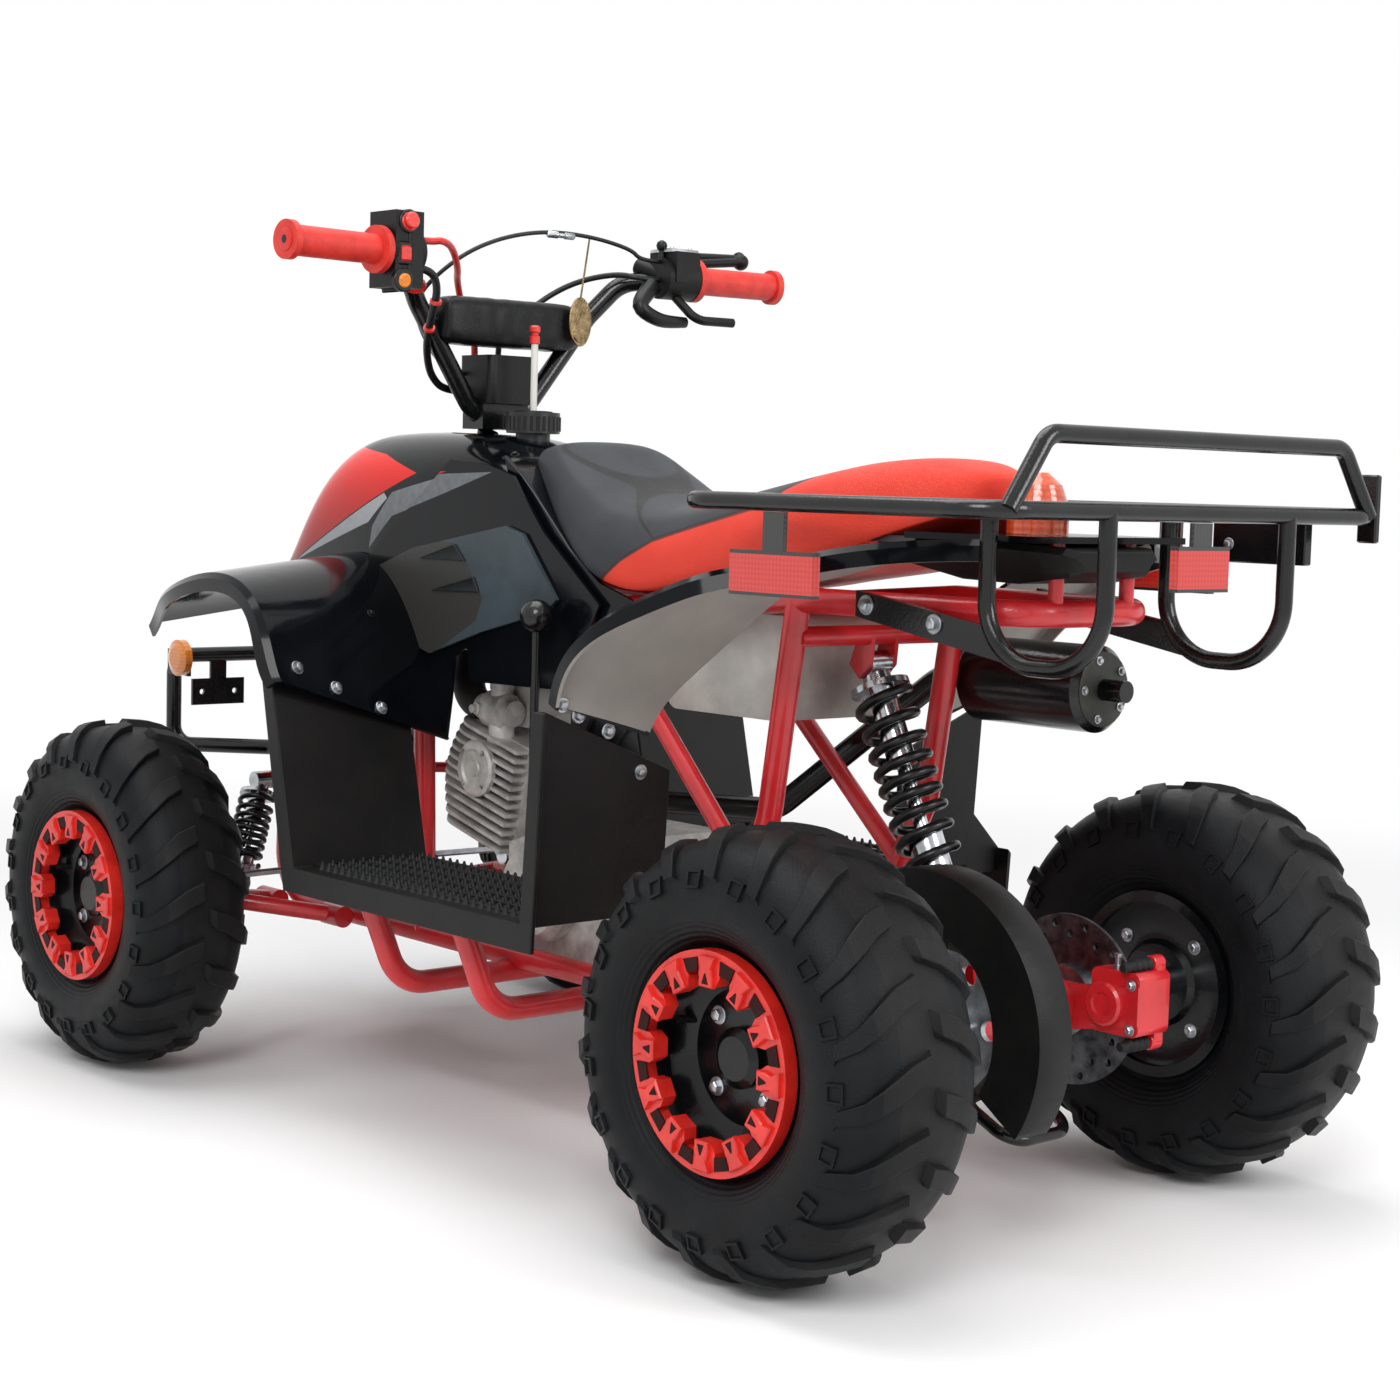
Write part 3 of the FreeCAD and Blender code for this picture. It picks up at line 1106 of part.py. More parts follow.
def brake_caliper():
    """Two halves over the disc's rear edge, on a plate from the axle's carrier."""
    back = REAR_AXLE - BRAKE_DISC_DIAMETER / 2
    low = at(back - CALIPER_LENGTH * 0.35, BRAKE_DISC_PLACE - CALIPER_DEPTH / 2,
             TYRE_RADIUS - CALIPER_HEIGHT * 0.3)
    body = Part.makeBox(CALIPER_LENGTH, CALIPER_DEPTH, CALIPER_HEIGHT, low)
    body = body.makeFillet(CALIPER_SLOT, [e for e in body.Edges if abs(e.tangentAt(0).y) > 0.9])
    axle = at(REAR_AXLE, BRAKE_DISC_PLACE, TYRE_RADIUS)
    slot = disc(axle, (0, 1, 0), BRAKE_DISC_DIAMETER + CALIPER_SLOT, CALIPER_SLOT)
    plane = way(axle.x, -CARRIER_RIGHT - RUNNING_CLEARANCE - CALIPER_PLATE, axle.z)
    radius = CARRIER_DIAMETER / 2
    outline = [plane + way(radius * 0.6, 0, radius * 0.8), plane + way(-radius, 0, radius * 0.8),
               way(low.x, plane.y, low.z + CALIPER_HEIGHT * 0.8), way(low.x, plane.y,
                                                                      low.z + CALIPER_HEIGHT * 0.2),
               plane + way(-radius, 0, -radius * 0.8), plane + way(radius * 0.6, 0, -radius * 0.8)]
    bracket = plate(outline, way(0, CALIPER_PLATE, 0))
    bracket = bracket.cut(disc(way(axle.x, plane.y, axle.z), (0, 1, 0), AXLE_DIAMETER + 4 * WORKING_CLEARANCE,
                               4 * CALIPER_PLATE))
    parts['brake_caliper'] = [body.cut(slot).fuse(bracket)]


# Engine: crankcase with its covers, finned cylinder, airbox, exhaust, gear lever

ENGINE_FRONT = 170
ENGINE_BACK = -96
ENGINE_RIGHT = -78
ENGINE_LEFT = 58
ENGINE_HEIGHT = 150
COVER_DEPTH = 28
COVER_DIAMETER = 116
COVER_AHEAD = 96
FIN_COUNT = 12
FIN_PITCH = 11
FIN_THICKNESS = 4
FIN_LENGTH = 150
FIN_WIDTH = 128
CYLINDER_LEAN = 14
CYLINDER_DIAMETER = 88


def engine():
    floor = HOOP_HEIGHT + HOOP_TUBE / 2 + RUNNING_CLEARANCE
    outline = [(ENGINE_BACK, floor + ENGINE_HEIGHT * 0.25), (ENGINE_BACK * 0.6, floor),
               (ENGINE_FRONT * 0.85, floor),
               (ENGINE_FRONT, floor + ENGINE_HEIGHT * 0.25), (ENGINE_FRONT, floor + ENGINE_HEIGHT * 0.8),
               (ENGINE_FRONT * 0.5, floor + ENGINE_HEIGHT), (ENGINE_BACK * 0.5, floor + ENGINE_HEIGHT),
               (ENGINE_BACK, floor + ENGINE_HEIGHT * 0.75)]
    case = side_plate(outline, ENGINE_RIGHT, ENGINE_LEFT - ENGINE_RIGHT)
    centre = at(COVER_AHEAD, 0, floor + ENGINE_HEIGHT * 0.5)
    shapes = [case]
    for edge, side in ((ENGINE_LEFT, 1), (ENGINE_RIGHT, -1)):
        start = way(centre.x, edge, centre.z)
        cover = turned([(0, 0), (0, COVER_DIAMETER / 2), (COVER_DEPTH * 0.6, COVER_DIAMETER / 2),
                        (COVER_DEPTH, COVER_DIAMETER * 0.42), (COVER_DEPTH, 0)], start, (0, side, 0))
        shapes.append(cover)
    drive = at(DRIVE_AHEAD, SPROCKET_PLACE, DRIVE_HEIGHT)
    shapes.append(disc(drive, (0, 1, 0), 2 * DRIVE_SPROCKET_RADIUS - CHAIN_HEIGHT, SPROCKET_THICKNESS))
    shapes.append(rod(way(drive.x, ENGINE_LEFT - OVERRUN, drive.z), drive, DRIVE_SPROCKET_RADIUS))
    parts['engine_case'] = [fused(shapes)]


def cylinder():
    """Horizontal cooling fins round the barrel, the head in front, leaning with the barrel."""
    floor = HOOP_HEIGHT + HOOP_TUBE / 2 + RUNNING_CLEARANCE
    base = floor + ENGINE_HEIGHT * 0.72
    start = ENGINE_FRONT + RUNNING_CLEARANCE
    shapes = [block(at(start, -CYLINDER_DIAMETER / 2, base - FIN_PITCH),
                    at(start + FIN_LENGTH * 0.72, CYLINDER_DIAMETER / 2, base + FIN_PITCH * (FIN_COUNT - 1)))]
    for number in range(FIN_COUNT):
        up = base + FIN_PITCH * (number - 0.5)
        low = at(start, -FIN_WIDTH / 2, up)
        fin = Part.makeBox(FIN_LENGTH * (0.86 + 0.14 * sin(pi * (number + 0.5) / FIN_COUNT)), FIN_WIDTH,
                           FIN_THICKNESS, low)
        corner = FIN_WIDTH * 0.3
        upright = [e for e in fin.Edges if abs(e.tangentAt(0).z) > 0.9 and e.valueAt(0).x > low.x + OVERRUN]
        shapes.append(fin.makeFillet(corner, upright))
    pivot = at(start, 0, floor + ENGINE_HEIGHT + RUNNING_CLEARANCE)
    leaning = fused(shapes)
    leaning.rotate(pivot, way(0, 1, 0), -CYLINDER_LEAN)
    parts['engine_cylinder'] = [leaning]


AIRBOX_FRONT = -112
AIRBOX_BACK = -300
AIRBOX_WIDTH = 140
AIRBOX_FLOOR = 462
AIRBOX_TOP = 568
AIRBOX_CORNER = 18
STRAP_AHEAD = -205
STRAP_WIDTH = 18
STRAP_OUT = 91
STRAP_THICKNESS = 2


def airbox():
    box = block(at(AIRBOX_BACK, -AIRBOX_WIDTH / 2, AIRBOX_FLOOR),
                at(AIRBOX_FRONT, AIRBOX_WIDTH / 2, AIRBOX_TOP))
    box = box.makeFillet(AIRBOX_CORNER, [e for e in box.Edges if abs(e.tangentAt(0).y) > 0.9])
    duct = rod(at(AIRBOX_FRONT - AIRBOX_CORNER, 0, AIRBOX_FLOOR + AIRBOX_CORNER * 2),
               at(ENGINE_FRONT + AIRBOX_CORNER, 0, AIRBOX_FLOOR - AIRBOX_CORNER), AIRBOX_CORNER * 2.4)
    carburettor = block(at(ENGINE_FRONT, -AIRBOX_WIDTH * 0.2, AIRBOX_FLOOR - AIRBOX_CORNER * 2.8),
                        at(ENGINE_FRONT + FIN_LENGTH * 0.4, AIRBOX_WIDTH * 0.2, AIRBOX_FLOOR + AIRBOX_CORNER))
    strap = block(at(STRAP_AHEAD, -STRAP_OUT, AIRBOX_TOP - STRAP_THICKNESS),
                  at(STRAP_AHEAD + STRAP_WIDTH, STRAP_OUT, AIRBOX_TOP + STRAP_THICKNESS))
    parts['airbox'] = [fused([box, duct, carburettor, strap])]


MUFFLER_DIAMETER = 88
MUFFLER_OUT = -169
MUFFLER_HEIGHT = 503
MUFFLER_FRONT = -330
MUFFLER_BACK = -500
PIPE_DIAMETER = 26
TAIL_PIPE = 22
TAIL_PIPE_LENGTH = 30
PORT_share = 0.5


def exhaust():
    front = at(MUFFLER_FRONT, MUFFLER_OUT, MUFFLER_HEIGHT)
    length = MUFFLER_FRONT - MUFFLER_BACK
    radius = MUFFLER_DIAMETER / 2
    can = turned([(0, 0), (0, radius * 0.7), (radius * 0.3, radius), (length - radius * 0.15, radius),
                  (length, radius * 0.85), (length, TAIL_PIPE / 2), (length + TAIL_PIPE_LENGTH,
                                                                     TAIL_PIPE / 2),
                  (length + TAIL_PIPE_LENGTH, 0)], front, (-1, 0, 0))
    floor = HOOP_HEIGHT + HOOP_TUBE / 2 + RUNNING_CLEARANCE
    port = at(ENGINE_FRONT + FIN_LENGTH * PORT_share, -FIN_WIDTH / 2 - RUNNING_CLEARANCE,
              floor + ENGINE_HEIGHT)
    out = -FRAME_WIDTH / 2 - FRAME_TUBE / 2 - PIPE_DIAMETER
    pipe = tube([port, at(ENGINE_FRONT + FIN_LENGTH * PORT_share, out, floor + ENGINE_HEIGHT),
                 at(DRIVE_AHEAD, out, floor + ENGINE_HEIGHT * 1.15),
                 at(MUFFLER_FRONT + radius, MUFFLER_OUT, MUFFLER_HEIGHT),
                 at(MUFFLER_FRONT - radius / 2, MUFFLER_OUT, MUFFLER_HEIGHT)], PIPE_DIAMETER, FRAME_BEND)
    parts['exhaust'] = [fused([can, pipe])]


LEVER_AHEAD = 12
LEVER_OUT = 148
LEVER_KNOB = 36
LEVER_HEIGHT = 552
LEVER_ROD = 10
LEVER_FOOT = 262


def gear_lever():
    """A ball-topped rod beside the rider's left knee, cranked in to the gearbox."""
    foot = at(LEVER_AHEAD, LEVER_OUT, LEVER_FOOT)
    rod_path = tube([at(LEVER_AHEAD, LEVER_OUT, LEVER_HEIGHT), foot,
                     at(LEVER_AHEAD, ENGINE_LEFT + RUNNING_CLEARANCE, LEVER_FOOT)], LEVER_ROD, 2 * LEVER_ROD)
    knob = Part.makeSphere(LEVER_KNOB / 2, at(LEVER_AHEAD, LEVER_OUT, LEVER_HEIGHT))
    parts['gear_lever'] = [fused([rod_path, knob])]


# Bodywork: moulded shells over the frame

SHELL = 4
COWL_BASE = 560
COWL_TOP = 750
COWL_WIDTH = 242
COWL_BACK = 128
COWL_FRONT = 642
FENDER_ROOT = 248
STEM_HOLE = 84
FENDER_LIP = 20
FRONT_FENDER_WIDTH = 686
FRONT_FENDER_TOP = 579
REAR_FENDER_WIDTH = 660
REAR_FENDER_TOP = 658
TAIL_BACK = -640

# Cowl stations: share of the way from back to front, of the width, of the base height, of the top height
COWL_stations_shares = (
    (0.00, 0.86, 1.06, 0.955), (0.18, 0.98, 1.00, 0.992), (0.40, 1.00, 1.00, 1.00), (0.56, 0.96, 1.01, 0.998),
    (0.72, 0.89, 0.99, 0.972), (0.86, 0.80, 0.97, 0.875), (1.00, 0.68, 0.955, 0.768))
# Fender stations: share ahead of the middle for the outer edge and the inner edge (of half the wheelbase),
# share of the half width, inner place (of the cowl's width), share of the top height for outer and inner edge
FRONT_FENDER_stations_shares = (
    (0.385, 0.392, 1.000, 0.480, 0.818, 0.692), (0.457, 0.500, 1.000, 0.480, 0.930, 0.878),
    (0.556, 0.610, 0.994, 0.480, 0.995, 1.000), (0.762, 0.800, 0.980, 0.476, 1.000, 1.044),
    (0.952, 0.990, 0.927, 0.420, 0.959, 1.006), (1.124, 1.181, 0.831, 0.323, 0.890, 0.930))
REAR_FENDER_stations_shares = (
    (-0.464, -0.464, 0.994, 0.839, 0.741, 0.686), (-0.491, -0.491, 0.994, 0.794, 0.796, 0.739),
    (-0.568, -0.568, 0.982, 0.726, 0.856, 0.804), (-0.659, -0.648, 0.933, 0.645, 0.898, 0.869),
    (-0.762, -0.743, 0.848, 0.589, 0.936, 0.921), (-0.838, -0.838, 0.745, 0.532, 0.954, 0.942),
    (-0.952, -0.952, 0.691, 0.490, 0.973, 0.970), (-1.067, -1.067, 0.485, 0.452, 0.991, 0.988),
    (-1.135, -1.135, 0.340, 0.420, 0.995, 0.995))


ARCH_shares = (
    (1.00, 0.00), (0.98, 0.42), (0.84, 0.80), (0.48, 0.97), (0.00, 1.00), (-0.48, 0.97), (-0.84, 0.80),
    (-0.98, 0.42), (-1.00, 0.00))


def arch_points(ahead, half, base, top):
    """A rounded arch across the vehicle, from one foot over the top to the other."""
    points = []
    for across, up in ARCH_shares:
        points.append(at(ahead, half * across, base + (top - base) * up))
    return points


def shell_wire(ahead, half, base, top, wall):
    outer = arch_points(ahead, half, base, top)
    inner = arch_points(ahead, half - wall, base, top - wall)
    feet = [Part.LineSegment(outer[-1], inner[-1]).toShape(), Part.LineSegment(inner[0], outer[0]).toShape()]
    return Part.Wire([smooth_wire(outer), feet[0], smooth_wire(list(reversed(inner))), feet[1]])


def cowl():
    wires = []
    for along, broad, low, high in COWL_stations_shares:
        ahead = COWL_BACK + (COWL_FRONT - COWL_BACK) * along
        wires.append(shell_wire(ahead, COWL_WIDTH / 2 * broad, COWL_BASE * low, COWL_TOP * high, SHELL))
    return loft(wires)


def fender(stations, width, top, side):
    """A moulded sheet over the wheel with its outer edge turned down as a lip."""
    wires = []
    half_base = WHEELBASE / 2
    for outer_at, inner_at, broad, inner_place, outer_up, inner_up in stations:
        outer = at(outer_at * half_base, side * width / 2 * broad, outer_up * top)
        inner = at(inner_at * half_base, side * inner_place * FENDER_ROOT, inner_up * top)
        index = len(wires)
        ahead = stations[min(index + 1, len(stations) - 1)]
        behind = stations[max(index - 1, 0)]
        along = way((ahead[0] - behind[0]) * half_base, 0, (ahead[4] - behind[4]) * top).normalize()
        across = (outer - inner).normalize()
        down = along.cross(across).normalize()
        down = down if down.z < 0 else down * -1
        corner = across * SHELL
        wires.append(Part.makePolygon([
            inner, outer, outer + corner * 1.5 + down * SHELL * 1.5, outer + corner * 1.5 + down * FENDER_LIP,
            outer + corner * 0.5 + down * FENDER_LIP, outer + corner * 0.5 + down * SHELL * 2,
            outer - corner * 0.5 + down * SHELL, inner + down * SHELL, inner]))
    return loft(wires)


# The flank below the cowl, each point a share of the cowl's length ahead and of its base height
FLANK_outline_shares = (
    (0.53, 1.04), (0.44, 1.02), (0.27, 0.91), (0.16, 0.72), (0.145, 0.80), (0.135, 0.885), (0.09, 0.905),
    (0.075, 0.838), (-0.23, 0.843), (-0.31, 0.93), (-0.365, 1.012), (-0.175, 1.143), (-0.065, 1.25),
    (0.02, 1.27),
    (0.16, 1.28))


def front_body():
    shapes = [cowl()]
    length = COWL_FRONT - COWL_BACK
    outline = [(COWL_BACK + along * length, up * COWL_BASE) for along, up in FLANK_outline_shares]
    for side in SIDES:
        inner = COWL_WIDTH / 2 - SHELL if side > 0 else -COWL_WIDTH / 2
        shapes.append(side_plate(outline, inner, SHELL))
        shapes.append(fender(FRONT_FENDER_stations_shares, FRONT_FENDER_WIDTH, FRONT_FENDER_TOP, side))
    whole = fused(shapes)
    top = stem_place(COWL_TOP)
    hole = Part.makeCylinder(STEM_HOLE / 2, COWL_TOP - COWL_BASE,
                             top - STEM_AXIS * ((COWL_TOP - COWL_BASE) / 2),
                             STEM_AXIS)
    cap = rod(at(CAP_AHEAD, 0, COWL_BASE), at(CAP_AHEAD, 0, COWL_TOP + CAP_HEIGHT),
              CAP_NECK + 2 * RUNNING_CLEARANCE)
    parts['front_body'] = [whole.cut([hole, cap])]


CAP_AHEAD = 217
CAP_DIAMETER = 62
CAP_HEIGHT = 24
CAP_NECK = 40
VENT_DIAMETER = 8
VENT_HEIGHT = 100


def fuel_cap():
    """A ribbed cap on the filler neck, with its upright vent hose."""
    base = at(CAP_AHEAD, 0, COWL_TOP - RUNNING_CLEARANCE)
    shapes = [Part.makeCylinder(CAP_DIAMETER / 2, CAP_HEIGHT, base),
              rod(base, base - way(0, 0, 2 * CAP_HEIGHT), CAP_NECK),
              Part.makeCylinder(VENT_DIAMETER / 2, VENT_HEIGHT, base + way(0, 0, CAP_HEIGHT))]
    parts['fuel_cap'] = [fused(shapes)]


# Knee panel outline: shares of the cowl's length ahead of its back edge and of the cowl's base height
KNEE_outline_shares = (
    (0.424, 1.055), (0.286, 1.098), (-0.056, 1.152), (-0.115, 1.138), (-0.235, 1.016), (-0.200, 0.991),
    (0.029, 0.939), (0.214, 0.886), (0.257, 0.896))
KNEE_THICKNESS = 5


def knee_panels():
    length = COWL_FRONT - COWL_BACK
    outline = [(COWL_BACK + along * length, up * COWL_BASE) for along, up in KNEE_outline_shares]
    pair = []
    for side in SIDES:
        inner = COWL_WIDTH / 2 + RUNNING_CLEARANCE
        if side < 0:
            inner = -inner - KNEE_THICKNESS
        pieces = side_plate(outline, inner, KNEE_THICKNESS).cut(parts['front_body']).Solids
        pair.append(max(pieces, key=lambda piece: piece.Volume))
    parts['knee_panels'] = pair


# Seat: stations as shares of its length from the nose, of its half width, of its lowest and highest height
SEAT_NOSE = 122
SEAT_TAIL = -505
SEAT_WIDTH = 276
SEAT_FOOT = 592
SEAT_HEIGHT = 744
SEAT_stations_shares = (
    (0.00, 0.50, 1.210, 0.985), (0.08, 0.66, 1.150, 0.992), (0.19, 0.79, 1.045, 0.946),
    (0.31, 0.86, 0.992, 0.911),
    (0.48, 0.97, 0.998, 0.920), (0.67, 1.00, 1.028, 0.958), (0.83, 0.95, 1.066, 0.978),
    (0.93, 0.76, 1.110, 0.978),
    (1.00, 0.40, 1.140, 0.962))
SEAT_FOOT_WIDTH = 20
SEAT_FOOT_places_shares = (0.48, 0.97)


def seat():
    wires = []
    for along, broad, low, high in SEAT_stations_shares:
        ahead = SEAT_NOSE + (SEAT_TAIL - SEAT_NOSE) * along
        points = arch_points(ahead, SEAT_WIDTH / 2 * broad, SEAT_FOOT * low, SEAT_HEIGHT * high)
        wires.append(Part.Wire([smooth_wire(points), Part.LineSegment(points[-1], points[0]).toShape()]))
    feet = []
    half = SEAT_FOOT_WIDTH / 2
    for share, floor in zip(SEAT_FOOT_places_shares, (TAIL_HEIGHT, REAR_FENDER_TOP)):
        ahead = SEAT_NOSE + (SEAT_TAIL - SEAT_NOSE) * share
        for side in SIDES:
            across = side * FRAME_WIDTH / 2
            feet.append(block(at(ahead - half, across - half, floor + RUNNING_CLEARANCE),
                              at(ahead + half, across + half, floor + 3 * SEAT_FOOT_WIDTH)))
    parts['seat'] = [fused([loft(wires)] + feet)]


def rear_fender():
    shapes = [fender(REAR_FENDER_stations_shares, REAR_FENDER_WIDTH, REAR_FENDER_TOP, side) for side in SIDES]
    half = FENDER_ROOT * REAR_FENDER_stations_shares[-1][3] + SHELL
    deck = block(at(TAIL_BACK, -half, REAR_FENDER_TOP - SHELL * 1.5),
                 at(SEAT_TAIL + SEAT_FOOT_WIDTH, half, REAR_FENDER_TOP))
    parts['rear_fender'] = [fused(shapes + [deck])]


# Footwells: a floor with an outer skirt between a front and a rear wall

FLOOR_TOP = 274
FLOOR_WALL = 5
FLOOR_UNDERSIDE = FLOOR_TOP - FLOOR_WALL
FLOOR_SKIRT = 27
WELL_INNER = 165
WELL_OUTER = 340
WELL_FRONT_FOOT = 186
WELL_FRONT_TOP = 236
WELL_BACK_FOOT = -223
WELL_BACK_TOP = -236
WELL_FRONT_HEIGHT = 484
WELL_BACK_HEIGHT = 478
WELL_INNER_DROP = 66
WELL_FLANGE = 14
WELL_RIGHT_NARROWER = 50
FLOOR_RIBS = 6
RIB_HEIGHT = 5
RIB_WIDTH = 8


def footwell(side):
    width = WELL_OUTER - WELL_INNER
    outline = [(WELL_FRONT_FOOT, FLOOR_UNDERSIDE), (WELL_FRONT_TOP, WELL_FRONT_HEIGHT),
               (WELL_FRONT_TOP - FLOOR_WALL, WELL_FRONT_HEIGHT), (WELL_FRONT_FOOT - FLOOR_WALL, FLOOR_TOP),
               (WELL_BACK_FOOT + FLOOR_WALL, FLOOR_TOP), (WELL_BACK_TOP + FLOOR_WALL, WELL_BACK_HEIGHT),
               (WELL_BACK_TOP, WELL_BACK_HEIGHT), (WELL_BACK_FOOT, FLOOR_UNDERSIDE)]
    shapes = [side_plate(outline, WELL_INNER, width)]
    flange = [(WELL_FRONT_FOOT + WELL_FLANGE, FLOOR_TOP - FLOOR_SKIRT),
              (WELL_FRONT_TOP + WELL_FLANGE, WELL_FRONT_HEIGHT),
              (WELL_FRONT_TOP - FLOOR_WALL, WELL_FRONT_HEIGHT), (WELL_FRONT_FOOT - FLOOR_WALL, FLOOR_TOP),
              (WELL_BACK_FOOT + FLOOR_WALL, FLOOR_TOP), (WELL_BACK_TOP + FLOOR_WALL, WELL_BACK_HEIGHT),
              (WELL_BACK_TOP - WELL_FLANGE, WELL_BACK_HEIGHT),
              (WELL_BACK_FOOT - WELL_FLANGE, FLOOR_TOP - FLOOR_SKIRT)]
    shapes.append(side_plate(flange, WELL_OUTER - FLOOR_WALL, FLOOR_WALL))
    pitch = width / (FLOOR_RIBS + 1)
    for number in range(1, FLOOR_RIBS + 1):
        middle = WELL_INNER + pitch * number
        low = at(WELL_BACK_FOOT + FLOOR_WALL * 2, middle - RIB_WIDTH / 2, FLOOR_TOP - RIB_HEIGHT / 2)
        high = at(WELL_FRONT_FOOT - FLOOR_WALL * 2, middle + RIB_WIDTH / 2, FLOOR_TOP + RIB_HEIGHT)
        shapes.append(block(low, high))
    whole = fused(shapes)
    cuts = []
    for ahead, high in ((WELL_FRONT_TOP, WELL_FRONT_HEIGHT), (WELL_BACK_TOP, WELL_BACK_HEIGHT)):
        reach = 3 * WELL_FLANGE
        points = [at(ahead - reach, WELL_INNER - OVERRUN, high - WELL_INNER_DROP),
                  at(ahead - reach, WELL_OUTER, high + OVERRUN),
                  at(ahead - reach, WELL_INNER - OVERRUN, high + OVERRUN)]
        cuts.append(plate(points, way(2 * reach, 0, 0)))
    if side < 0:
        rim = WELL_OUTER - WELL_RIGHT_NARROWER
        points = [at(WELL_BACK_TOP - 3 * WELL_FLANGE, across, up) for across, up in (
            (WELL_OUTER + OVERRUN, FLOOR_TOP + WELL_FLANGE), (rim,
                                                              FLOOR_TOP + WELL_RIGHT_NARROWER + WELL_FLANGE),
            (rim, WELL_BACK_HEIGHT + OVERRUN), (WELL_OUTER + OVERRUN, WELL_BACK_HEIGHT + OVERRUN))]
        cuts.append(plate(points, way(5 * WELL_FLANGE, 0, 0)))
    whole = whole.cut(cuts)
    return whole if side > 0 else mirrored(whole)


# Tubular ends: front bumper and rear rack

BUMPER_TUBE = 19
BUMPER_AHEAD = FRONT_AXLE + FRONT_OVERHANG - BUMPER_TUBE / 2
BUMPER_TOP = 460
BUMPER_FOOT = 350
BUMPER_WIDTH = 336
BUMPER_BEND = 24
BUMPER_PLATE = 4
BUMPER_PLATE_HEIGHT = 34
BUMPER_PLATE_WIDTH = 76
BUMPER_PLATE_share = 0.62
BUMPER_PLATE_DROP = 48
PLATE_HOLE = 7
PLATE_HOLE_SPACING = 48
AMBER_AHEAD = 700
AMBER_STRAP = 4


def front_bumper():
    half = BUMPER_WIDTH / 2
    tower = TOWER_TOP_shares[0] * WHEELBASE + (TOWER_FOOT_shares[0] - TOWER_TOP_shares[0]) * WHEELBASE * (
        (TOWER_HEIGHT - BUMPER_FOOT) / (TOWER_HEIGHT - RAIL_HEIGHT))
    inner = FRAME_WIDTH / 2
    end = tower + FRAME_TUBE / 2 + WORKING_CLEARANCE
    left = [at(end, inner, BUMPER_FOOT), at(end + BUMPER_BEND, inner, BUMPER_FOOT),
            at(BUMPER_AHEAD, half, BUMPER_FOOT - BUMPER_TUBE * 0.2), at(BUMPER_AHEAD, half, BUMPER_TOP)]
    right = [FreeCAD.Vector(p.x, -p.y, p.z) for p in reversed(left)]
    shapes = [tube(left + right, BUMPER_TUBE, BUMPER_BEND)]
    holes = []
    for side in SIDES:
        across = side * half * BUMPER_PLATE_share
        middle = BUMPER_TOP - BUMPER_PLATE_DROP
        low = at(BUMPER_AHEAD - BUMPER_PLATE / 2, across - BUMPER_PLATE_WIDTH / 2,
                 middle - BUMPER_PLATE_HEIGHT / 2)
        for hand in SIDES:
            holes.append(disc(at(BUMPER_AHEAD, across + hand * PLATE_HOLE_SPACING / 2, middle), (1, 0, 0),
                              PLATE_HOLE, BUMPER_PLATE + 2 * OVERRUN))
        shapes.append(Part.makeBox(BUMPER_PLATE, BUMPER_PLATE_WIDTH, BUMPER_PLATE_HEIGHT, low))
        shapes.append(Part.makeBox(BUMPER_PLATE, BUMPER_PLATE_WIDTH * 0.3, BUMPER_PLATE_HEIGHT * 1.3,
                                   low + way(0, BUMPER_PLATE_WIDTH * 0.35, BUMPER_PLATE_HEIGHT * 0.6)))
        edge = half + BUMPER_TUBE / 2 + AMBER_STRAP
        low = at(AMBER_AHEAD - AMBER_DIAMETER / 4, side * edge - (AMBER_STRAP if side > 0 else 0),
                 BUMPER_TOP - AMBER_DIAMETER / 2)
        shapes.append(Part.makeBox(BUMPER_AHEAD - AMBER_AHEAD + AMBER_DIAMETER / 4, AMBER_STRAP,
                                   AMBER_DIAMETER * 0.7, low - way(0, side * AMBER_STRAP, 0)))
    parts['front_bumper'] = [fused(shapes).cut(holes)]


RACK_TUBE = 16
RACK_SLAT = 12
RACK_HEIGHT = 682
RACK_WIDTH = 572
RACK_FRONT = -350
RACK_BACK = REAR_AXLE - REAR_OVERHANG
RACK_CORNER = 45
RACK_SLAT_share = 0.60
RACK_CROSS_shares = (0.64, 0.83)
RACK_HOOP_HEIGHT = 753
RACK_HOOP_FOOT = 508
RACK_HOOP_TOP = 416
STAY_OUT = 127
STAY_TUBE = 16
STAY_BEND = 58
STRAP_DEPTH = 24
STAY_LOW = 545
STAY_FRONT = -448
STAY_TOP = 590
STAY_BOTTOM = -668
STAY_STRUT = -606


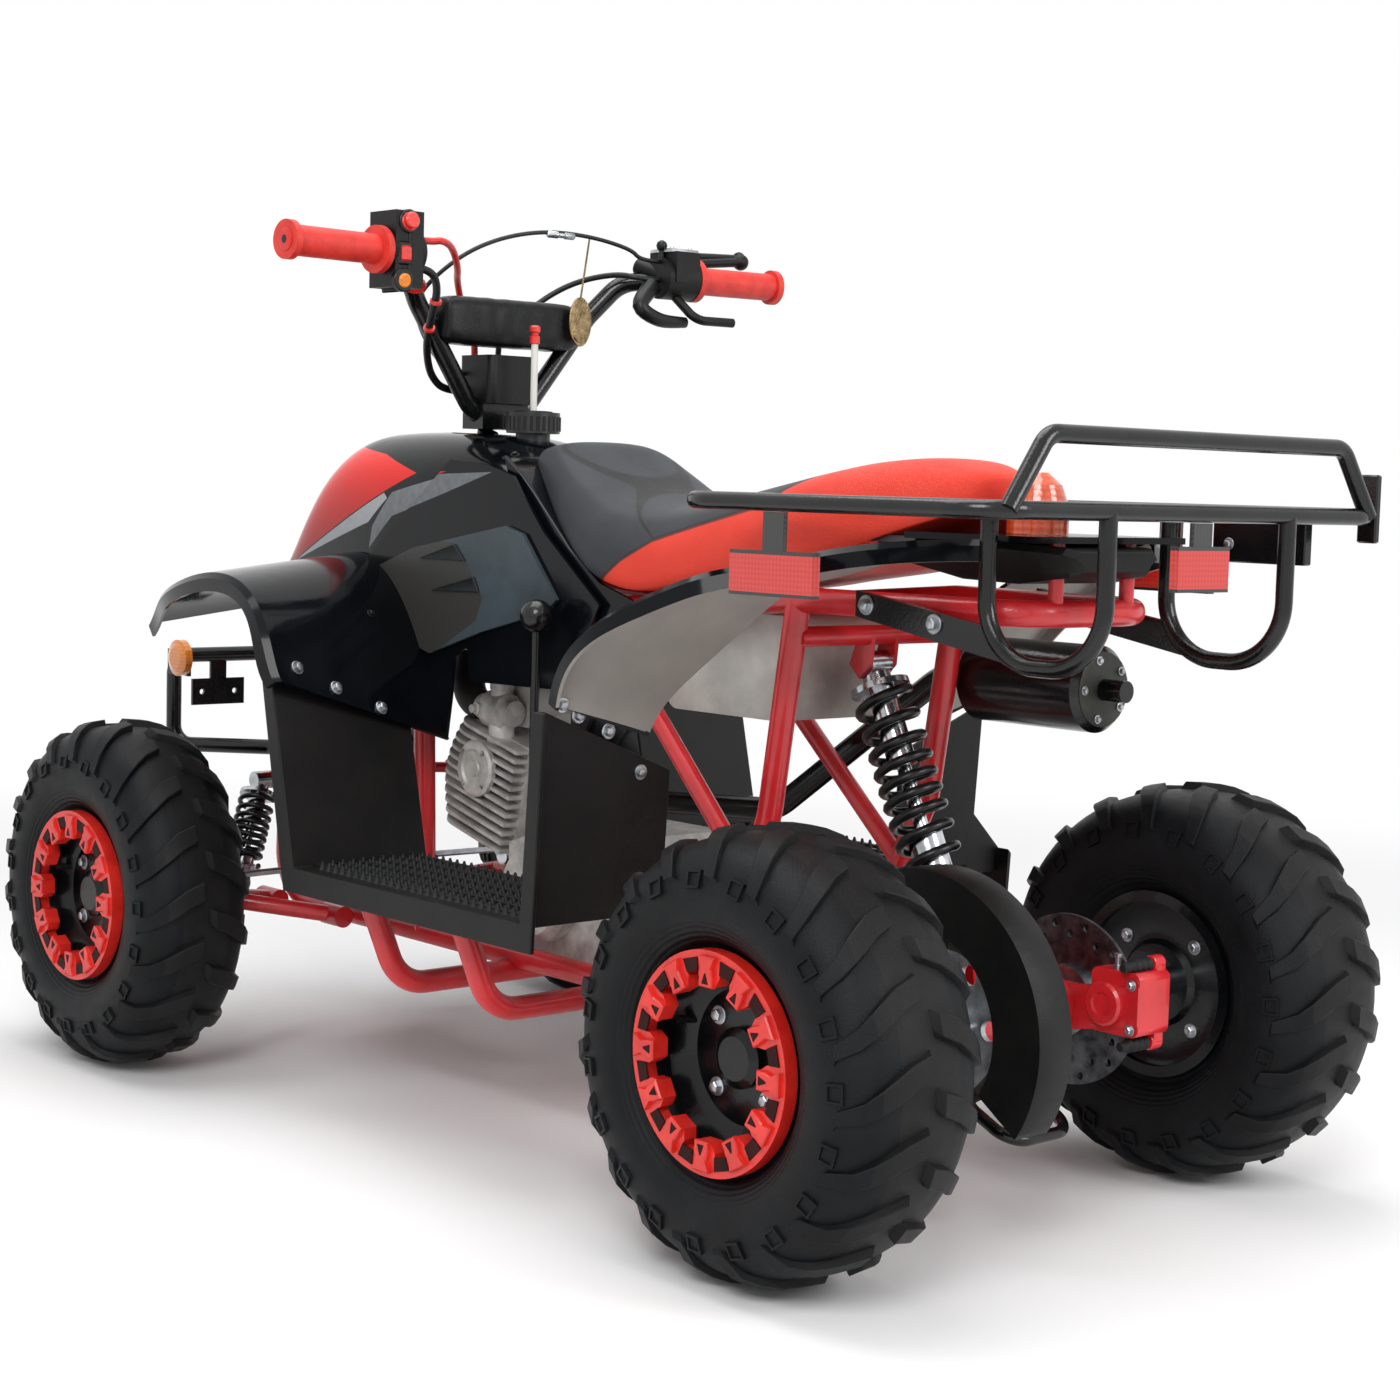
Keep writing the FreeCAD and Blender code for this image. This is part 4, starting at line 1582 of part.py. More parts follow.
def rear_rack():
    half = RACK_WIDTH / 2 - RACK_TUBE / 2
    front, back = RACK_FRONT - RACK_TUBE / 2, RACK_BACK + RACK_TUBE / 2
    gap = RACK_SLAT_share * half
    turns = ((front, gap - RACK_SLAT), (front, half), (back, half), (back, -half), (front, -half),
             (front, RACK_SLAT - gap))
    corners = [at(ahead, left, RACK_HEIGHT) for ahead, left in turns]
    shapes = [tube(corners, RACK_TUBE, RACK_CORNER)]
    crown = RACK_HOOP_HEIGHT - RACK_TUBE / 2
    hoop = [at(back, RACK_HOOP_FOOT / 2, RACK_HEIGHT), at(back, RACK_HOOP_TOP / 2, crown),
            at(back, -RACK_HOOP_TOP / 2, crown), at(back, -RACK_HOOP_FOOT / 2, RACK_HEIGHT)]
    shapes.append(tube(hoop, RACK_TUBE, RACK_CORNER / 2))
    for side in SIDES:
        shapes.append(rod(at(front, side * gap, RACK_HEIGHT), at(back, side * gap, RACK_HEIGHT), RACK_SLAT))
    for share in RACK_CROSS_shares:
        ahead = front + (back - front) * share
        shapes.append(rod(at(ahead, -half, RACK_HEIGHT), at(ahead, half, RACK_HEIGHT), RACK_SLAT))
    brace = front + (back - front) * RACK_CROSS_shares[1]
    for side in SIDES:
        out = side * STAY_OUT
        shapes.append(tube([at(STAY_STRUT, out, RACK_HEIGHT), at(STAY_STRUT, out, STAY_LOW),
                            at(back, out, STAY_LOW),
                            at(back, out, RACK_HEIGHT)], STAY_TUBE, STAY_BEND))
        shapes.append(rod(at(STAY_STRUT, out, RACK_HEIGHT), at(brace, out, RACK_HEIGHT), STAY_TUBE * 0.8))
        strap = [(STAY_FRONT, STAY_TOP + STRAP_DEPTH / 2), (STAY_FRONT, STAY_TOP - STRAP_DEPTH / 2),
                 (STAY_BOTTOM, STAY_LOW - STAY_TUBE / 4), (STAY_STRUT, STAY_LOW + STRAP_DEPTH * 1.4)]
        shapes.append(side_plate(strap, out - STAY_TUBE / 4, STAY_TUBE / 2))
    parts['rear_rack'] = [fused(shapes)]


# Lamps and reflectors

REFLECTOR_LENGTH = 106
REFLECTOR_HEIGHT = 40
REFLECTOR_THICKNESS = 9
REFLECTOR_AHEAD = -492
REFLECTOR_DROP = 34
AMBER_DIAMETER = 46
TAIL_LAMP_DIAMETER = 58
TAIL_LAMP_HEIGHT = 57
TAIL_LAMP_AHEAD = -552
HEAD_LAMP_DIAMETER = 74
HEAD_LAMP_DEPTH = 60
HEAD_LAMP_AHEAD = 628
HEAD_LAMP_OUT = 46
HEAD_LAMP_HEIGHT = 505


def reflectors():
    red = []
    place = RACK_WIDTH / 2 - RACK_TUBE / 2
    top = RACK_HEIGHT - RACK_TUBE / 2 - RUNNING_CLEARANCE
    strap = REFLECTOR_DROP
    for side in SIDES:
        y = side * place
        body = block(at(REFLECTOR_AHEAD - REFLECTOR_LENGTH / 2, y - REFLECTOR_THICKNESS / 2,
                        top - REFLECTOR_DROP - REFLECTOR_HEIGHT),
                     at(REFLECTOR_AHEAD + REFLECTOR_LENGTH / 2, y + REFLECTOR_THICKNESS / 2,
                        top - REFLECTOR_DROP))
        hanger = block(at(REFLECTOR_AHEAD - REFLECTOR_LENGTH / 8, y - REFLECTOR_THICKNESS / 4,
                          top - strap - OVERRUN),
                       at(REFLECTOR_AHEAD + REFLECTOR_LENGTH / 8, y + REFLECTOR_THICKNESS / 4, top))
        red.append(body.fuse(hanger))
    back = RACK_BACK + RACK_TUBE / 2
    high = top - REFLECTOR_DROP * 0.6
    body = block(at(back - REFLECTOR_THICKNESS / 2, -REFLECTOR_LENGTH * 0.34, high - REFLECTOR_HEIGHT),
                 at(back + REFLECTOR_THICKNESS / 2, REFLECTOR_LENGTH * 0.34, high))
    hanger = block(at(back - REFLECTOR_THICKNESS / 4, -REFLECTOR_LENGTH / 8, top - strap),
                   at(back + REFLECTOR_THICKNESS / 4, REFLECTOR_LENGTH / 8, top))
    red.append(body.fuse(hanger))
    parts['red_reflectors'] = red
    amber = []
    for side in SIDES:
        y = side * (BUMPER_WIDTH / 2 + BUMPER_TUBE / 2 + RUNNING_CLEARANCE)
        amber.append(turned([(0, 0), (0, AMBER_DIAMETER / 2), (REFLECTOR_THICKNESS, AMBER_DIAMETER / 2),
                             (REFLECTOR_THICKNESS * 1.4, AMBER_DIAMETER * 0.3),
                             (REFLECTOR_THICKNESS * 1.4, 0)],
                            at(AMBER_AHEAD, y, BUMPER_TOP), (0, side, 0)))
    parts['amber_reflectors'] = amber


def lamps():
    base = at(TAIL_LAMP_AHEAD, 0, REAR_FENDER_TOP + RUNNING_CLEARANCE)
    radius = TAIL_LAMP_DIAMETER / 2
    parts['tail_lamp'] = [turned([(0, 0), (0, radius), (TAIL_LAMP_HEIGHT * 0.45, radius),
                                  (TAIL_LAMP_HEIGHT * 0.8, radius * 0.75), (TAIL_LAMP_HEIGHT, radius * 0.3),
                                  (TAIL_LAMP_HEIGHT, 0)], base, (0, 0, 1))]
    pair = []
    for side in SIDES:
        start = at(HEAD_LAMP_AHEAD - HEAD_LAMP_DEPTH, side * HEAD_LAMP_OUT, HEAD_LAMP_HEIGHT)
        radius = HEAD_LAMP_DIAMETER / 2
        pair.append(turned([(0, 0), (0, radius * 0.5), (HEAD_LAMP_DEPTH * 0.7, radius),
                            (HEAD_LAMP_DEPTH * 0.9, radius), (HEAD_LAMP_DEPTH, radius * 0.6),
                            (HEAD_LAMP_DEPTH * 1.03, 0)], start, (1, 0, 0)))
    parts['head_lamps'] = pair


def build():
    rear_wheel_set()
    front_wheels()
    rear_shaft()
    sprocket()
    brake_disc()
    frame()
    front_arms()
    for side, name in ((1, 'left'), (-1, 'right')):
        parts['knuckle_' + name] = [knuckle(side)]
        parts['tie_rod_' + name] = [tie_rod(side)]
        parts['footwell_' + name] = [footwell(side)]
    steering_stem()
    handlebar()
    bar_pad()
    grips()
    bar_controls()
    dash_box()
    cords()
    shocks()
    swingarm()
    chain()
    chain_guard()
    skid_hoop()
    brake_caliper()
    engine()
    cylinder()
    airbox()
    exhaust()
    gear_lever()
    front_body()
    fuel_cap()
    knee_panels()
    seat()
    rear_fender()
    front_bumper()
    rear_rack()
    reflectors()
    lamps()


build()
os.makedirs("parts", exist_ok=True)
for name, shapes in parts.items():
    shape = shapes[0] if len(shapes) == 1 else Part.makeCompound(shapes)
    shape.exportStep("parts/" + name + ".step")
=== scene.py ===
from math import cos, hypot, pi, radians, sin

import bpy
from mathutils import Matrix, Vector, noise


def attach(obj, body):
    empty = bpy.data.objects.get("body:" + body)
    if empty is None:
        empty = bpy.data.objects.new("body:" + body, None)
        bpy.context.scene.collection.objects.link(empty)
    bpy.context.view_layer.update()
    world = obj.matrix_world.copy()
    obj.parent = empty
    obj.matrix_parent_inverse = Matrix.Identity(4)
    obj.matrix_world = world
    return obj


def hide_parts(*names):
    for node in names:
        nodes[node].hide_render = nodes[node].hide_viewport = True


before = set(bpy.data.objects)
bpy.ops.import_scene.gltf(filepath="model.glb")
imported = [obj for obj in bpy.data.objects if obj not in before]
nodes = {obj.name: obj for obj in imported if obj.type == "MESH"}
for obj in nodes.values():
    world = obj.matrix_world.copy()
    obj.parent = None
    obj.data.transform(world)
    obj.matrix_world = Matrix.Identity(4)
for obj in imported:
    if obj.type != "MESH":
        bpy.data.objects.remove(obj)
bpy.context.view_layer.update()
scene = bpy.context.scene

# The stand for the picture. A camera low behind the left rear wheel, three soft lamps,
# and a pale sweep of floor that fades into a white backdrop.
EYE = Vector((-2.0638, 1.7555, 0.6945))
HEADING, TILT, ROLL = -0.7265, -0.0867, 0.027
SENSOR, FOCAL_LENGTH = 36, 63.35
FLOOR_SIZE, FADE_START, FADE_END = 60, 1.2, 3.2
SOFT_LIGHT = 0.52
LAMP_AIM = Vector((0, 0, 0.4))
LAMPS = (("key_lamp", (-2.2, 2.6, 2.6), 1.6, 70), ("top_lamp", (0.3, 0.2, 3.0), 2.2, 52),
         ("tail_lamp_soft", (-2.9, -0.8, 1.7), 1.2, 36))


def added(name, data):
    """A new object in the scene."""
    made = bpy.data.objects.new(name, data)
    scene.collection.objects.link(made)
    return made


camera = added("camera", bpy.data.cameras.new("camera"))
camera.data.sensor_width = SENSOR
camera.data.lens = FOCAL_LENGTH
camera.matrix_world = (
    Matrix.Translation(EYE) @ Matrix.Rotation(HEADING - pi / 2, 4, "Z")
    @ Matrix.Rotation(pi / 2 + TILT, 4, "X") @ Matrix.Rotation(ROLL, 4, "Z"))
scene.camera = camera
scene.view_settings.view_transform = "Standard"


class Field:
    """A value that varies over a surface. Sums and products of fields add Math nodes."""

    def __init__(self, tree, socket=None):
        self.tree = tree
        self.socket = socket

    def node(self, kind, sockets=None, out=0, **settings):
        made = self.tree.nodes.new("ShaderNode" + kind)
        for name, value in settings.items():
            setattr(made, name, value)
        for name, value in (sockets or {}).items():
            if isinstance(value, Field):
                self.tree.links.new(value.socket, made.inputs[name])
            else:
                made.inputs[name].default_value = value
        return Field(self.tree, made.outputs[out])

    def maths(self, operation, first, second=0.0):
        return self.node("Math", {0: first, 1: second}, operation=operation)

    def __add__(self, other): return self.maths("ADD", self, other)
    def __radd__(self, other): return self.maths("ADD", other, self)
    def __sub__(self, other): return self.maths("SUBTRACT", self, other)
    def __rsub__(self, other): return self.maths("SUBTRACT", other, self)
    def __mul__(self, other): return self.maths("MULTIPLY", self, other)
    def __rmul__(self, other): return self.maths("MULTIPLY", other, self)
    def __gt__(self, other): return self.maths("GREATER_THAN", self, other)
    def __lt__(self, other): return self.maths("LESS_THAN", self, other)
    def __abs__(self): return self.maths("ABSOLUTE", self)

    def axis(self, number):
        """How far a place or a normal reaches along X (0), Y (1) or Z (2)."""
        return self.node("SeparateXYZ", {0: self}, out=number)

    def cloud(self, scale, detail, roughness=0.5):
        """Cloudy noise over a place."""
        return self.node("TexNoise", {"Vector": self, "Scale": scale, "Detail": detail,
                                      "Roughness": roughness})

    def mix(self, under, over):
        """The colour under where this field is 0, and the colour over where it is 1."""
        return self.node("Mix", {0: self, 6: under, 7: over}, out=2, data_type="RGBA")

    def into(self, name):
        self.tree.links.new(self.socket, self.tree.nodes["Principled BSDF"].inputs[name])

    def bump(self, distance, strength):
        """The surface stands up by this field."""
        self.node("Bump", {"Height": self, "Distance": distance, "Strength": strength}).into("Normal")


def seen_directly(field):
    """1 where the eye meets it, in a mirror or through glass too, and 0 for the light that it sends."""
    rays = [field.node("LightPath", out=name)
            for name in ("Is Camera Ray", "Is Glossy Ray", "Is Transmission Ray")]
    return field.maths("MINIMUM", rays[0] + rays[1] + rays[2], 1.0)


white = bpy.data.materials.new("white_sweep")
white.use_nodes = True
paper = white.node_tree.nodes["Principled BSDF"]
paper.inputs["Base Color"].default_value = (0.93, 0.93, 0.93, 1)
paper.inputs["Roughness"].default_value = 0.9
paper.inputs["Specular IOR Level"].default_value = 0.1
sweep = Field(white.node_tree, paper.outputs[0])
away = sweep.node("VectorMath", {0: sweep.node("TexCoord", out="Object")}, out="Value", operation="LENGTH")
fade = sweep.node("MapRange", {0: away, 1: FADE_START, 2: FADE_END}, interpolation_type="SMOOTHSTEP")
glow = sweep.node("Emission", {"Color": (1, 1, 1, 1), "Strength": 1.0})
both = sweep.node("MixShader", {0: fade * seen_directly(sweep), 1: sweep, 2: glow})
white.node_tree.links.new(both.socket, white.node_tree.nodes["Material Output"].inputs["Surface"])
bpy.ops.mesh.primitive_plane_add(size=FLOOR_SIZE)
floor = bpy.context.object
floor.name = "floor"
floor.data.materials.append(white)

world = bpy.data.worlds.new("studio")
scene.world = world
world.use_nodes = True
backdrop = world.node_tree.nodes["Background"]
backdrop.inputs["Color"].default_value = (1, 1, 1, 1)
strength = SOFT_LIGHT + (1 - SOFT_LIGHT) * seen_directly(Field(world.node_tree))
world.node_tree.links.new(strength.socket, backdrop.inputs["Strength"])

for name, spot, size, watts in LAMPS:
    lamp = added(name, bpy.data.lights.new(name, "AREA"))
    lamp.data.size = size
    lamp.data.energy = watts
    lamp.location = spot
    lamp.rotation_euler = (LAMP_AIM - Vector(spot)).to_track_quat("-Z", "Y").to_euler()


def hue(code):
    """A colour given in hex, as the shader wants it."""
    parts = [int(code[i:i + 2], 16) / 255 for i in (0, 2, 4)]
    return tuple(p / 12.92 if p < 0.04 else ((p + 0.055) / 1.055) ** 2.4 for p in parts) + (1.0,)


def finish(name, dark, light, patch, rough, grain, grain_size, metal=0.0, coat=0.0, specular=0.5):
    """Two shades drift over the surface, its shine varies, and a fine grain stands up.
    """
    material = bpy.data.materials.new(name)
    material.use_nodes = True
    shader = material.node_tree.nodes["Principled BSDF"]
    shader.inputs["Metallic"].default_value = metal
    shader.inputs["Coat Weight"].default_value = coat
    shader.inputs["Specular IOR Level"].default_value = specular
    place = Field(material.node_tree).node("TexCoord", out="Object")
    drift = place.node("MapRange", {0: place.cloud(1 / patch, 4.0, 0.6), 1: 0.34, 2: 0.66})
    shade = drift.mix(hue(dark), hue(light))
    shade.into("Base Color")
    (rough[0] + place.cloud(4 / patch, 6.0) * (rough[1] - rough[0])).into("Roughness")
    place.cloud(1 / grain_size, 2.0).bump(grain, 0.6)
    return material, place, shade


def dress(material, *names):
    """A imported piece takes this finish."""
    for name in names:
        nodes[name].data.materials.clear()
        nodes[name].data.materials.append(material)


red_coat = finish("red_powder_coat", "b3141b", "d8252c", 0.08, (0.26, 0.46), 0.0004, 0.004, coat=0.35)[0]
dress(red_coat, "frame", "front_arms", "swingarm", "brake_caliper")

# Black bent tube: the handlebar with its stem, the rear rack, the bumper, the skid hoop, the gear
# lever and the exhaust. They are rolled steel tube and rod, sprayed in gloss black.
black_coat = finish("black_tube_enamel", "08090a", "141516", 0.06, (0.11, 0.26), 0.0003, 0.003,
                    specular=0.42)[0]
dress(black_coat, "handlebar", "steering_stem", "rear_rack", "front_bumper", "skid_hoop",
      "gear_lever", "exhaust")

# Bare metal: knuckles, tie rods, sprocket and axle are zinc plated. The brake disc is ground dark
# steel, and the roller chain is steel under a film of oil.
zinc = finish("zinc_plate", "8d9094", "c9ccd0", 0.02, (0.22, 0.45), 0.0002, 0.001, metal=1.0)[0]
dress(zinc, "knuckle_left", "knuckle_right", "tie_rod_left", "tie_rod_right", "rear_sprocket", "rear_axle")
dress(finish("brake_disc_steel", "38393b", "6b6d70", 0.015, (0.24, 0.46), 0.0003, 0.0009, metal=1.0)[0],
      "brake_disc")
dress(finish("oiled_chain_steel", "2b2a28", "5b5752", 0.01, (0.3, 0.6), 0.0003, 0.0008, metal=0.9)[0], "chain")

# Tyres: balloon casings of black rubber, turned to one outline. Chevron lugs run from the crown out
# over the shoulder, and a raised square stands beside each lug's outer end.
AXLE_HEIGHT, FRONT_AXLE, REAR_AXLE = 0.203, 0.5235, -0.5265
FRONT_TRACK, REAR_TRACK = 0.355, 0.295
FRONT_WIDTH, REAR_WIDTH = 0.146, 0.172
WHEELS = (
    ("front_left", (FRONT_AXLE, FRONT_TRACK, AXLE_HEIGHT), FRONT_WIDTH, "front_wheel_left",
     ("front_tyre_left",)),
    ("front_right", (FRONT_AXLE, -FRONT_TRACK, AXLE_HEIGHT), FRONT_WIDTH, "front_wheel_right",
     ("front_tyre_right",)),
    ("rear_left", (REAR_AXLE, REAR_TRACK, AXLE_HEIGHT), REAR_WIDTH, "rear_axle", ("rear_tyres",)),
    ("rear_right", (REAR_AXLE, -REAR_TRACK, AXLE_HEIGHT), REAR_WIDTH, "rear_axle", ()))
BEAD, TREAD_BASE, CASING_SLACK, CASING_STEPS = 0.0895, 0.1942, 0.006, 96
CASING = ((0.00, 1.00), (0.3, 0.992), (0.58, 0.955), (0.8, 0.865), (0.94, 0.72), (1.00, 0.53),
          (0.985, 0.36), (0.9, 0.215), (0.79, 0.13), (0.745, 0.105), (0.715, 0.06), (0.66, 0.005))
LUG_HEIGHT, LUG_ROOT, LUG_END = 0.008, -0.003, -0.002
LUG_PITCHES, LUG_STATIONS = 19, 8
LUG_START, LUG_REACH, LUG_SWEEP, LUG_LOWERS = 0.012, 0.545, 0.3, 0.75
LUG_HALF, LUG_SWELL, LUG_NARROWS, LUG_TAPER = 0.048, 0.024, 0.2, 0.35
LUG_FOOT, LUG_TOE = 0.045, 0.05
SQUARE_AT, SQUARE_TURN, SQUARE_RISE = 0.545, 0.455, 0.003
SQUARE_HALF, SQUARE_HALF_TURN = 0.048, 0.056
RIB_PITCH, RIB_START, RIB_END, DUST_START = 0.0045, 0.104, 0.122, 0.192


def through(points, steps):
    """A smooth line through points, with equal steps between each pair."""
    line = []
    last = len(points) - 1
    for i in range(last):
        near = (points[max(i - 1, 0)], points[i], points[i + 1], points[min(i + 2, last)])
        for step in range(steps):
            t = step / steps
            line.append(tuple(
                0.5 * (2 * b + (c - a) * t + (2 * a - 5 * b + 4 * c - d) * t * t
                       + (3 * b - a - 3 * c + d) * t ** 3) for a, b, c, d in zip(*near)))
    line.append(tuple(points[last]))
    return line


def angles(count, start=0.0):
    """Equal angles round a circle."""
    return [start + 2 * pi * i / count for i in range(count)]


class Shape:
    """Rods, turned parts, plates and lofts that are gathered into one piece."""

    def __init__(self):
        self.points, self.faces = [], []

    def rings(self, rings, capped=True, closed=True):
        """Faces over rings that have the same count of points."""
        first, count = len(self.points), len(rings[0])
        self.points += [Vector(p) for ring in rings for p in ring]
        for row in range(len(rings) - 1):
            here, there = first + row * count, first + (row + 1) * count
            for i in range(count if closed else count - 1):
                j = (i + 1) % count
                self.faces.append((here + i, here + j, there + j, there + i))
        last = first + (len(rings) - 1) * count
        if capped:
            self.faces.append(tuple(reversed(range(first, first + count))))
            self.faces.append(tuple(range(last, last + count)))
        return self

    def raised(self, rings):
        """Rings that stand on a surface and are closed at the last one only."""
        self.rings(rings, capped=False)
        last = len(self.points)
        self.faces.append(tuple(range(last - len(rings[-1]), last)))
        return self

    def turned(self, spot, axis, profile, sides=24, seated=False):
        """The profile lists (height along the axis, radius). A seated part is open at its foot."""
        spot, axis = Vector(spot), Vector(axis).normalized()
        u = axis.orthogonal().normalized()
        v = axis.cross(u)
        rings = [[spot + axis * h + (u * cos(a) + v * sin(a)) * r for a in angles(sides)] for h, r in profile]
        return self.raised(rings) if seated else self.rings(rings)

    def rod(self, path, radius, sides=10, steps=5):
        """A round bar whose heart runs through the path, with one radius or one for each point."""
        radii = radius if isinstance(radius, tuple) else (radius,) * len(path)
        line = through([(*p, r) for p, r in zip(path, radii)], steps)
        rows, u = [], None
        for i, spot in enumerate(line):
            before, after = line[max(i - 1, 0)], line[min(i + 1, len(line) - 1)]
            run = (Vector(after[:3]) - Vector(before[:3])).normalized()
            u = run.orthogonal().normalized() if u is None else (u - run * u.dot(run)).normalized()
            v = run.cross(u)
            rows.append([Vector(spot[:3]) + (u * cos(a) + v * sin(a)) * spot[3] for a in angles(sides)])
        return self.rings(rows)

    def plate(self, outline, out, thick, bevel):
        """A flat plate on its outline, raised in the direction out, with a bevelled upper edge."""
        outline = [Vector(p) for p in outline]
        out = Vector(out).normalized()
        heart = sum(outline, Vector()) / len(outline)
        rows = [outline, [p + out * (thick - bevel) for p in outline]]
        rows.append([p + (heart - p).normalized() * bevel + out * thick for p in outline])
        if (outline[1] - outline[0]).cross(outline[2] - outline[1]).dot(out) < 0:
            rows = [list(reversed(row)) for row in rows]
        return self.rings(rows)

    def block(self, middle, sizes, bevel):
        """A box with bevelled edges."""
        x, y, z = (v / 2 for v in sizes)
        rows = []
        for rise, inset in ((-z, bevel), (-z + bevel, 0.0), (z - bevel, 0.0), (z, bevel)):
            a, b, c = x - inset, y - inset, bevel
            spots = ((a - c, -b), (a, -b + c), (a, b - c), (a - c, b),
                     (-a + c, b), (-a, b - c), (-a, -b + c), (-a + c, -b))
            rows.append([Vector(middle) + Vector((px, py, rise)) for px, py in spots])
        return self.rings(rows)

    def smooth(self, name, material):
        """The piece, shaded round all over and not yet on a body."""
        mesh = bpy.data.meshes.new(name)
        mesh.from_pydata(self.points, [], self.faces)
        mesh.validate()
        mesh.update()
        mesh.shade_smooth()
        mesh.materials.append(material)
        return added(name, mesh)

    def made(self, name, body, material, sharp=35):
        """The piece on its body. Edges sharper than this many degrees stay sharp."""
        made = self.smooth(name, material)
        made.data.set_sharp_from_angle(angle=radians(sharp))
        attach(made, body)
        return made


rubber, in_tyre, tint = finish("tyre_rubber", "08090b", "111316", 0.05, (0.34, 0.6), 0.0005, 0.0012,
                               specular=0.16)
from_x, from_z = in_tyre.axis(0), in_tyre.axis(2)
radius = in_tyre.maths("SQRT", from_x * from_x + from_z * from_z)
ribs = in_tyre.maths("SINE", radius * (2 * pi / RIB_PITCH)) * (radius > RIB_START) * (radius < RIB_END)
(ribs * 0.5 + in_tyre.cloud(900.0, 2.0)).bump(0.0007, 0.7)
dusty = in_tyre.cloud(18.0, 5.0) * (radius > DUST_START) * 0.5
dusty.mix(tint, hue("2a2826")).into("Base Color")


def tyre(name, centre, width, body, stands_for):
    """The casing is turned, and each lug is laid on it from the crown out over the shoulder."""
    half = width / 2 - CASING_SLACK
    line = through([(half * a, BEAD + (TREAD_BASE - BEAD) * b) for a, b in CASING], 3)
    outline = [(-a, r) for a, r in reversed(line)] + line[1:]
    count = len(outline)
    form = Shape()
    for number, turn in enumerate(angles(CASING_STEPS)):
        form.points += [Vector((r * cos(turn), a, r * sin(turn))) for a, r in outline]
        here, there = number * count, (number + 1) % CASING_STEPS * count
        form.faces += [(here + i, there + i, there + i + 1, here + i + 1) for i in range(count - 1)]
    lengths = [0.0]
    for (a0, r0), (a1, r1) in zip(line, line[1:]):
        lengths.append(lengths[-1] + hypot(a1 - a0, r1 - r0))

    def lay(side, row):
        """A row of (share out from the crown, angle, height) becomes points on the casing."""
        placed = []
        for share, angle, height in row:
            goal = share * lengths[-1]
            after = next(i for i in range(1, len(lengths)) if lengths[i] >= goal - 1e-9)
            part = (goal - lengths[after - 1]) / (lengths[after] - lengths[after - 1])
            (a0, r0), (a1, r1) = line[after - 1], line[after]
            along = Vector((a1 - a0, r1 - r0)).normalized()
            across = side * (a0 + (a1 - a0) * part - along.y * height)
            reach = r0 + (r1 - r0) * part + along.x * height
            placed.append((reach * cos(angle), across, reach * sin(angle)))
        return placed

    for side in (1, -1):
        for base in angles(LUG_PITCHES, 0.0 if side > 0 else pi / LUG_PITCHES):
            rings = []
            for step in range(LUG_STATIONS):
                t = step / (LUG_STATIONS - 1)
                share = LUG_START + LUG_REACH * t
                middle = base + LUG_SWEEP * t ** 1.15
                broad = (LUG_HALF + LUG_SWELL * sin(pi * min(t * 1.1, 1))) * (1 - LUG_NARROWS * t)
                tall = LUG_HEIGHT * (1 - LUG_TAPER * t) * (1 if t < LUG_LOWERS else 1 - (t - LUG_LOWERS) * 2.4)
                if step in (0, LUG_STATIONS - 1):
                    tall = LUG_END
                elif step == 1:
                    share -= LUG_FOOT
                elif step == LUG_STATIONS - 2:
                    share += LUG_TOE
                section = ((-1, LUG_ROOT), (-0.86, tall * 0.9), (-0.76, tall),
                           (0.76, tall), (0.86, tall * 0.9), (1, LUG_ROOT))
                rings.append(lay(side, [(share, middle + broad * edge, height) for edge, height in section]))
            form.rings(rings, capped=False, closed=False)
            turn = base + SQUARE_TURN
            form.raised([lay(side, [
                (SQUARE_AT + SQUARE_HALF * inset * out, turn + SQUARE_HALF_TURN * inset * hand, height)
                for out, hand in ((-1, -1), (-1, 1), (1, 1), (1, -1))]) for inset, height in (
                    (1.0, -0.001), (0.94, SQUARE_RISE), (0.7, SQUARE_RISE), (0.64, SQUARE_RISE * 0.35))])
    made = form.smooth(name, rubber)
    made.data.set_sharp_from_angle(angle=radians(32))
    made.location = centre
    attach(made, body)
    if stands_for:
        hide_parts(*stands_for)


for name, *wheel in WHEELS:
    tyre("tyre_" + name, *wheel)

# Rims of pressed steel in gloss black, held by four zinc nuts each, and a red moulded ring over the
# outer bead. Each ring carries twelve raised lugs with a hole in them, and a pocket in between. The
# shade in each lug's hole and in each pocket is painted: a near-black plate lies there.
WASHER = ((0.0, 1.25), (0.22, 1.25), (0.28, 1.15))
HEXAGON = ((0.28, 0.8), (0.85, 0.8), (1.0, 0.62), (1.06, 0.3))
NUT_CIRCLE, NUT_FACE, NUT_SIZE = 0.045, 0.033, 0.014
RING_LUGS, FRONT_RING_FACE, REAR_RING_FACE, RING_SINK = 24, 0.067, 0.0765, 0.001
CASTLE = ((0.0665, 0.0085), (0.074, 0.0085), (0.083, 0.0062), (0.093, 0.0105))
LUG_HOLE = ((0.0695, 0.0043), (0.079, 0.0008))
POCKET = ((0.0795, 0.007), (0.0915, 0.0095))
rim_black = finish("rim_gloss_black", "07080a", "101214", 0.05, (0.12, 0.3), 0.0002, 0.003, coat=0.1,
                   specular=0.25)[0]
dress(rim_black, "rear_rims", "front_rim_left", "front_rim_right")
ring_red = finish("bead_ring_red", "c41f18", "e02c21", 0.03, (0.3, 0.46), 0.0003, 0.002, coat=0.15)[0]
dress(ring_red, "rear_bead_rings", "front_bead_ring_left", "front_bead_ring_right")
# Near-black red: painted shade for the hole in each lug and for the pocket between lugs.
painted_pocket_shade = finish("ring_pocket_shadow", "1d0605", "300b09", 0.02, (0.5, 0.7), 0.0002, 0.002,
                     specular=0.15)[0]


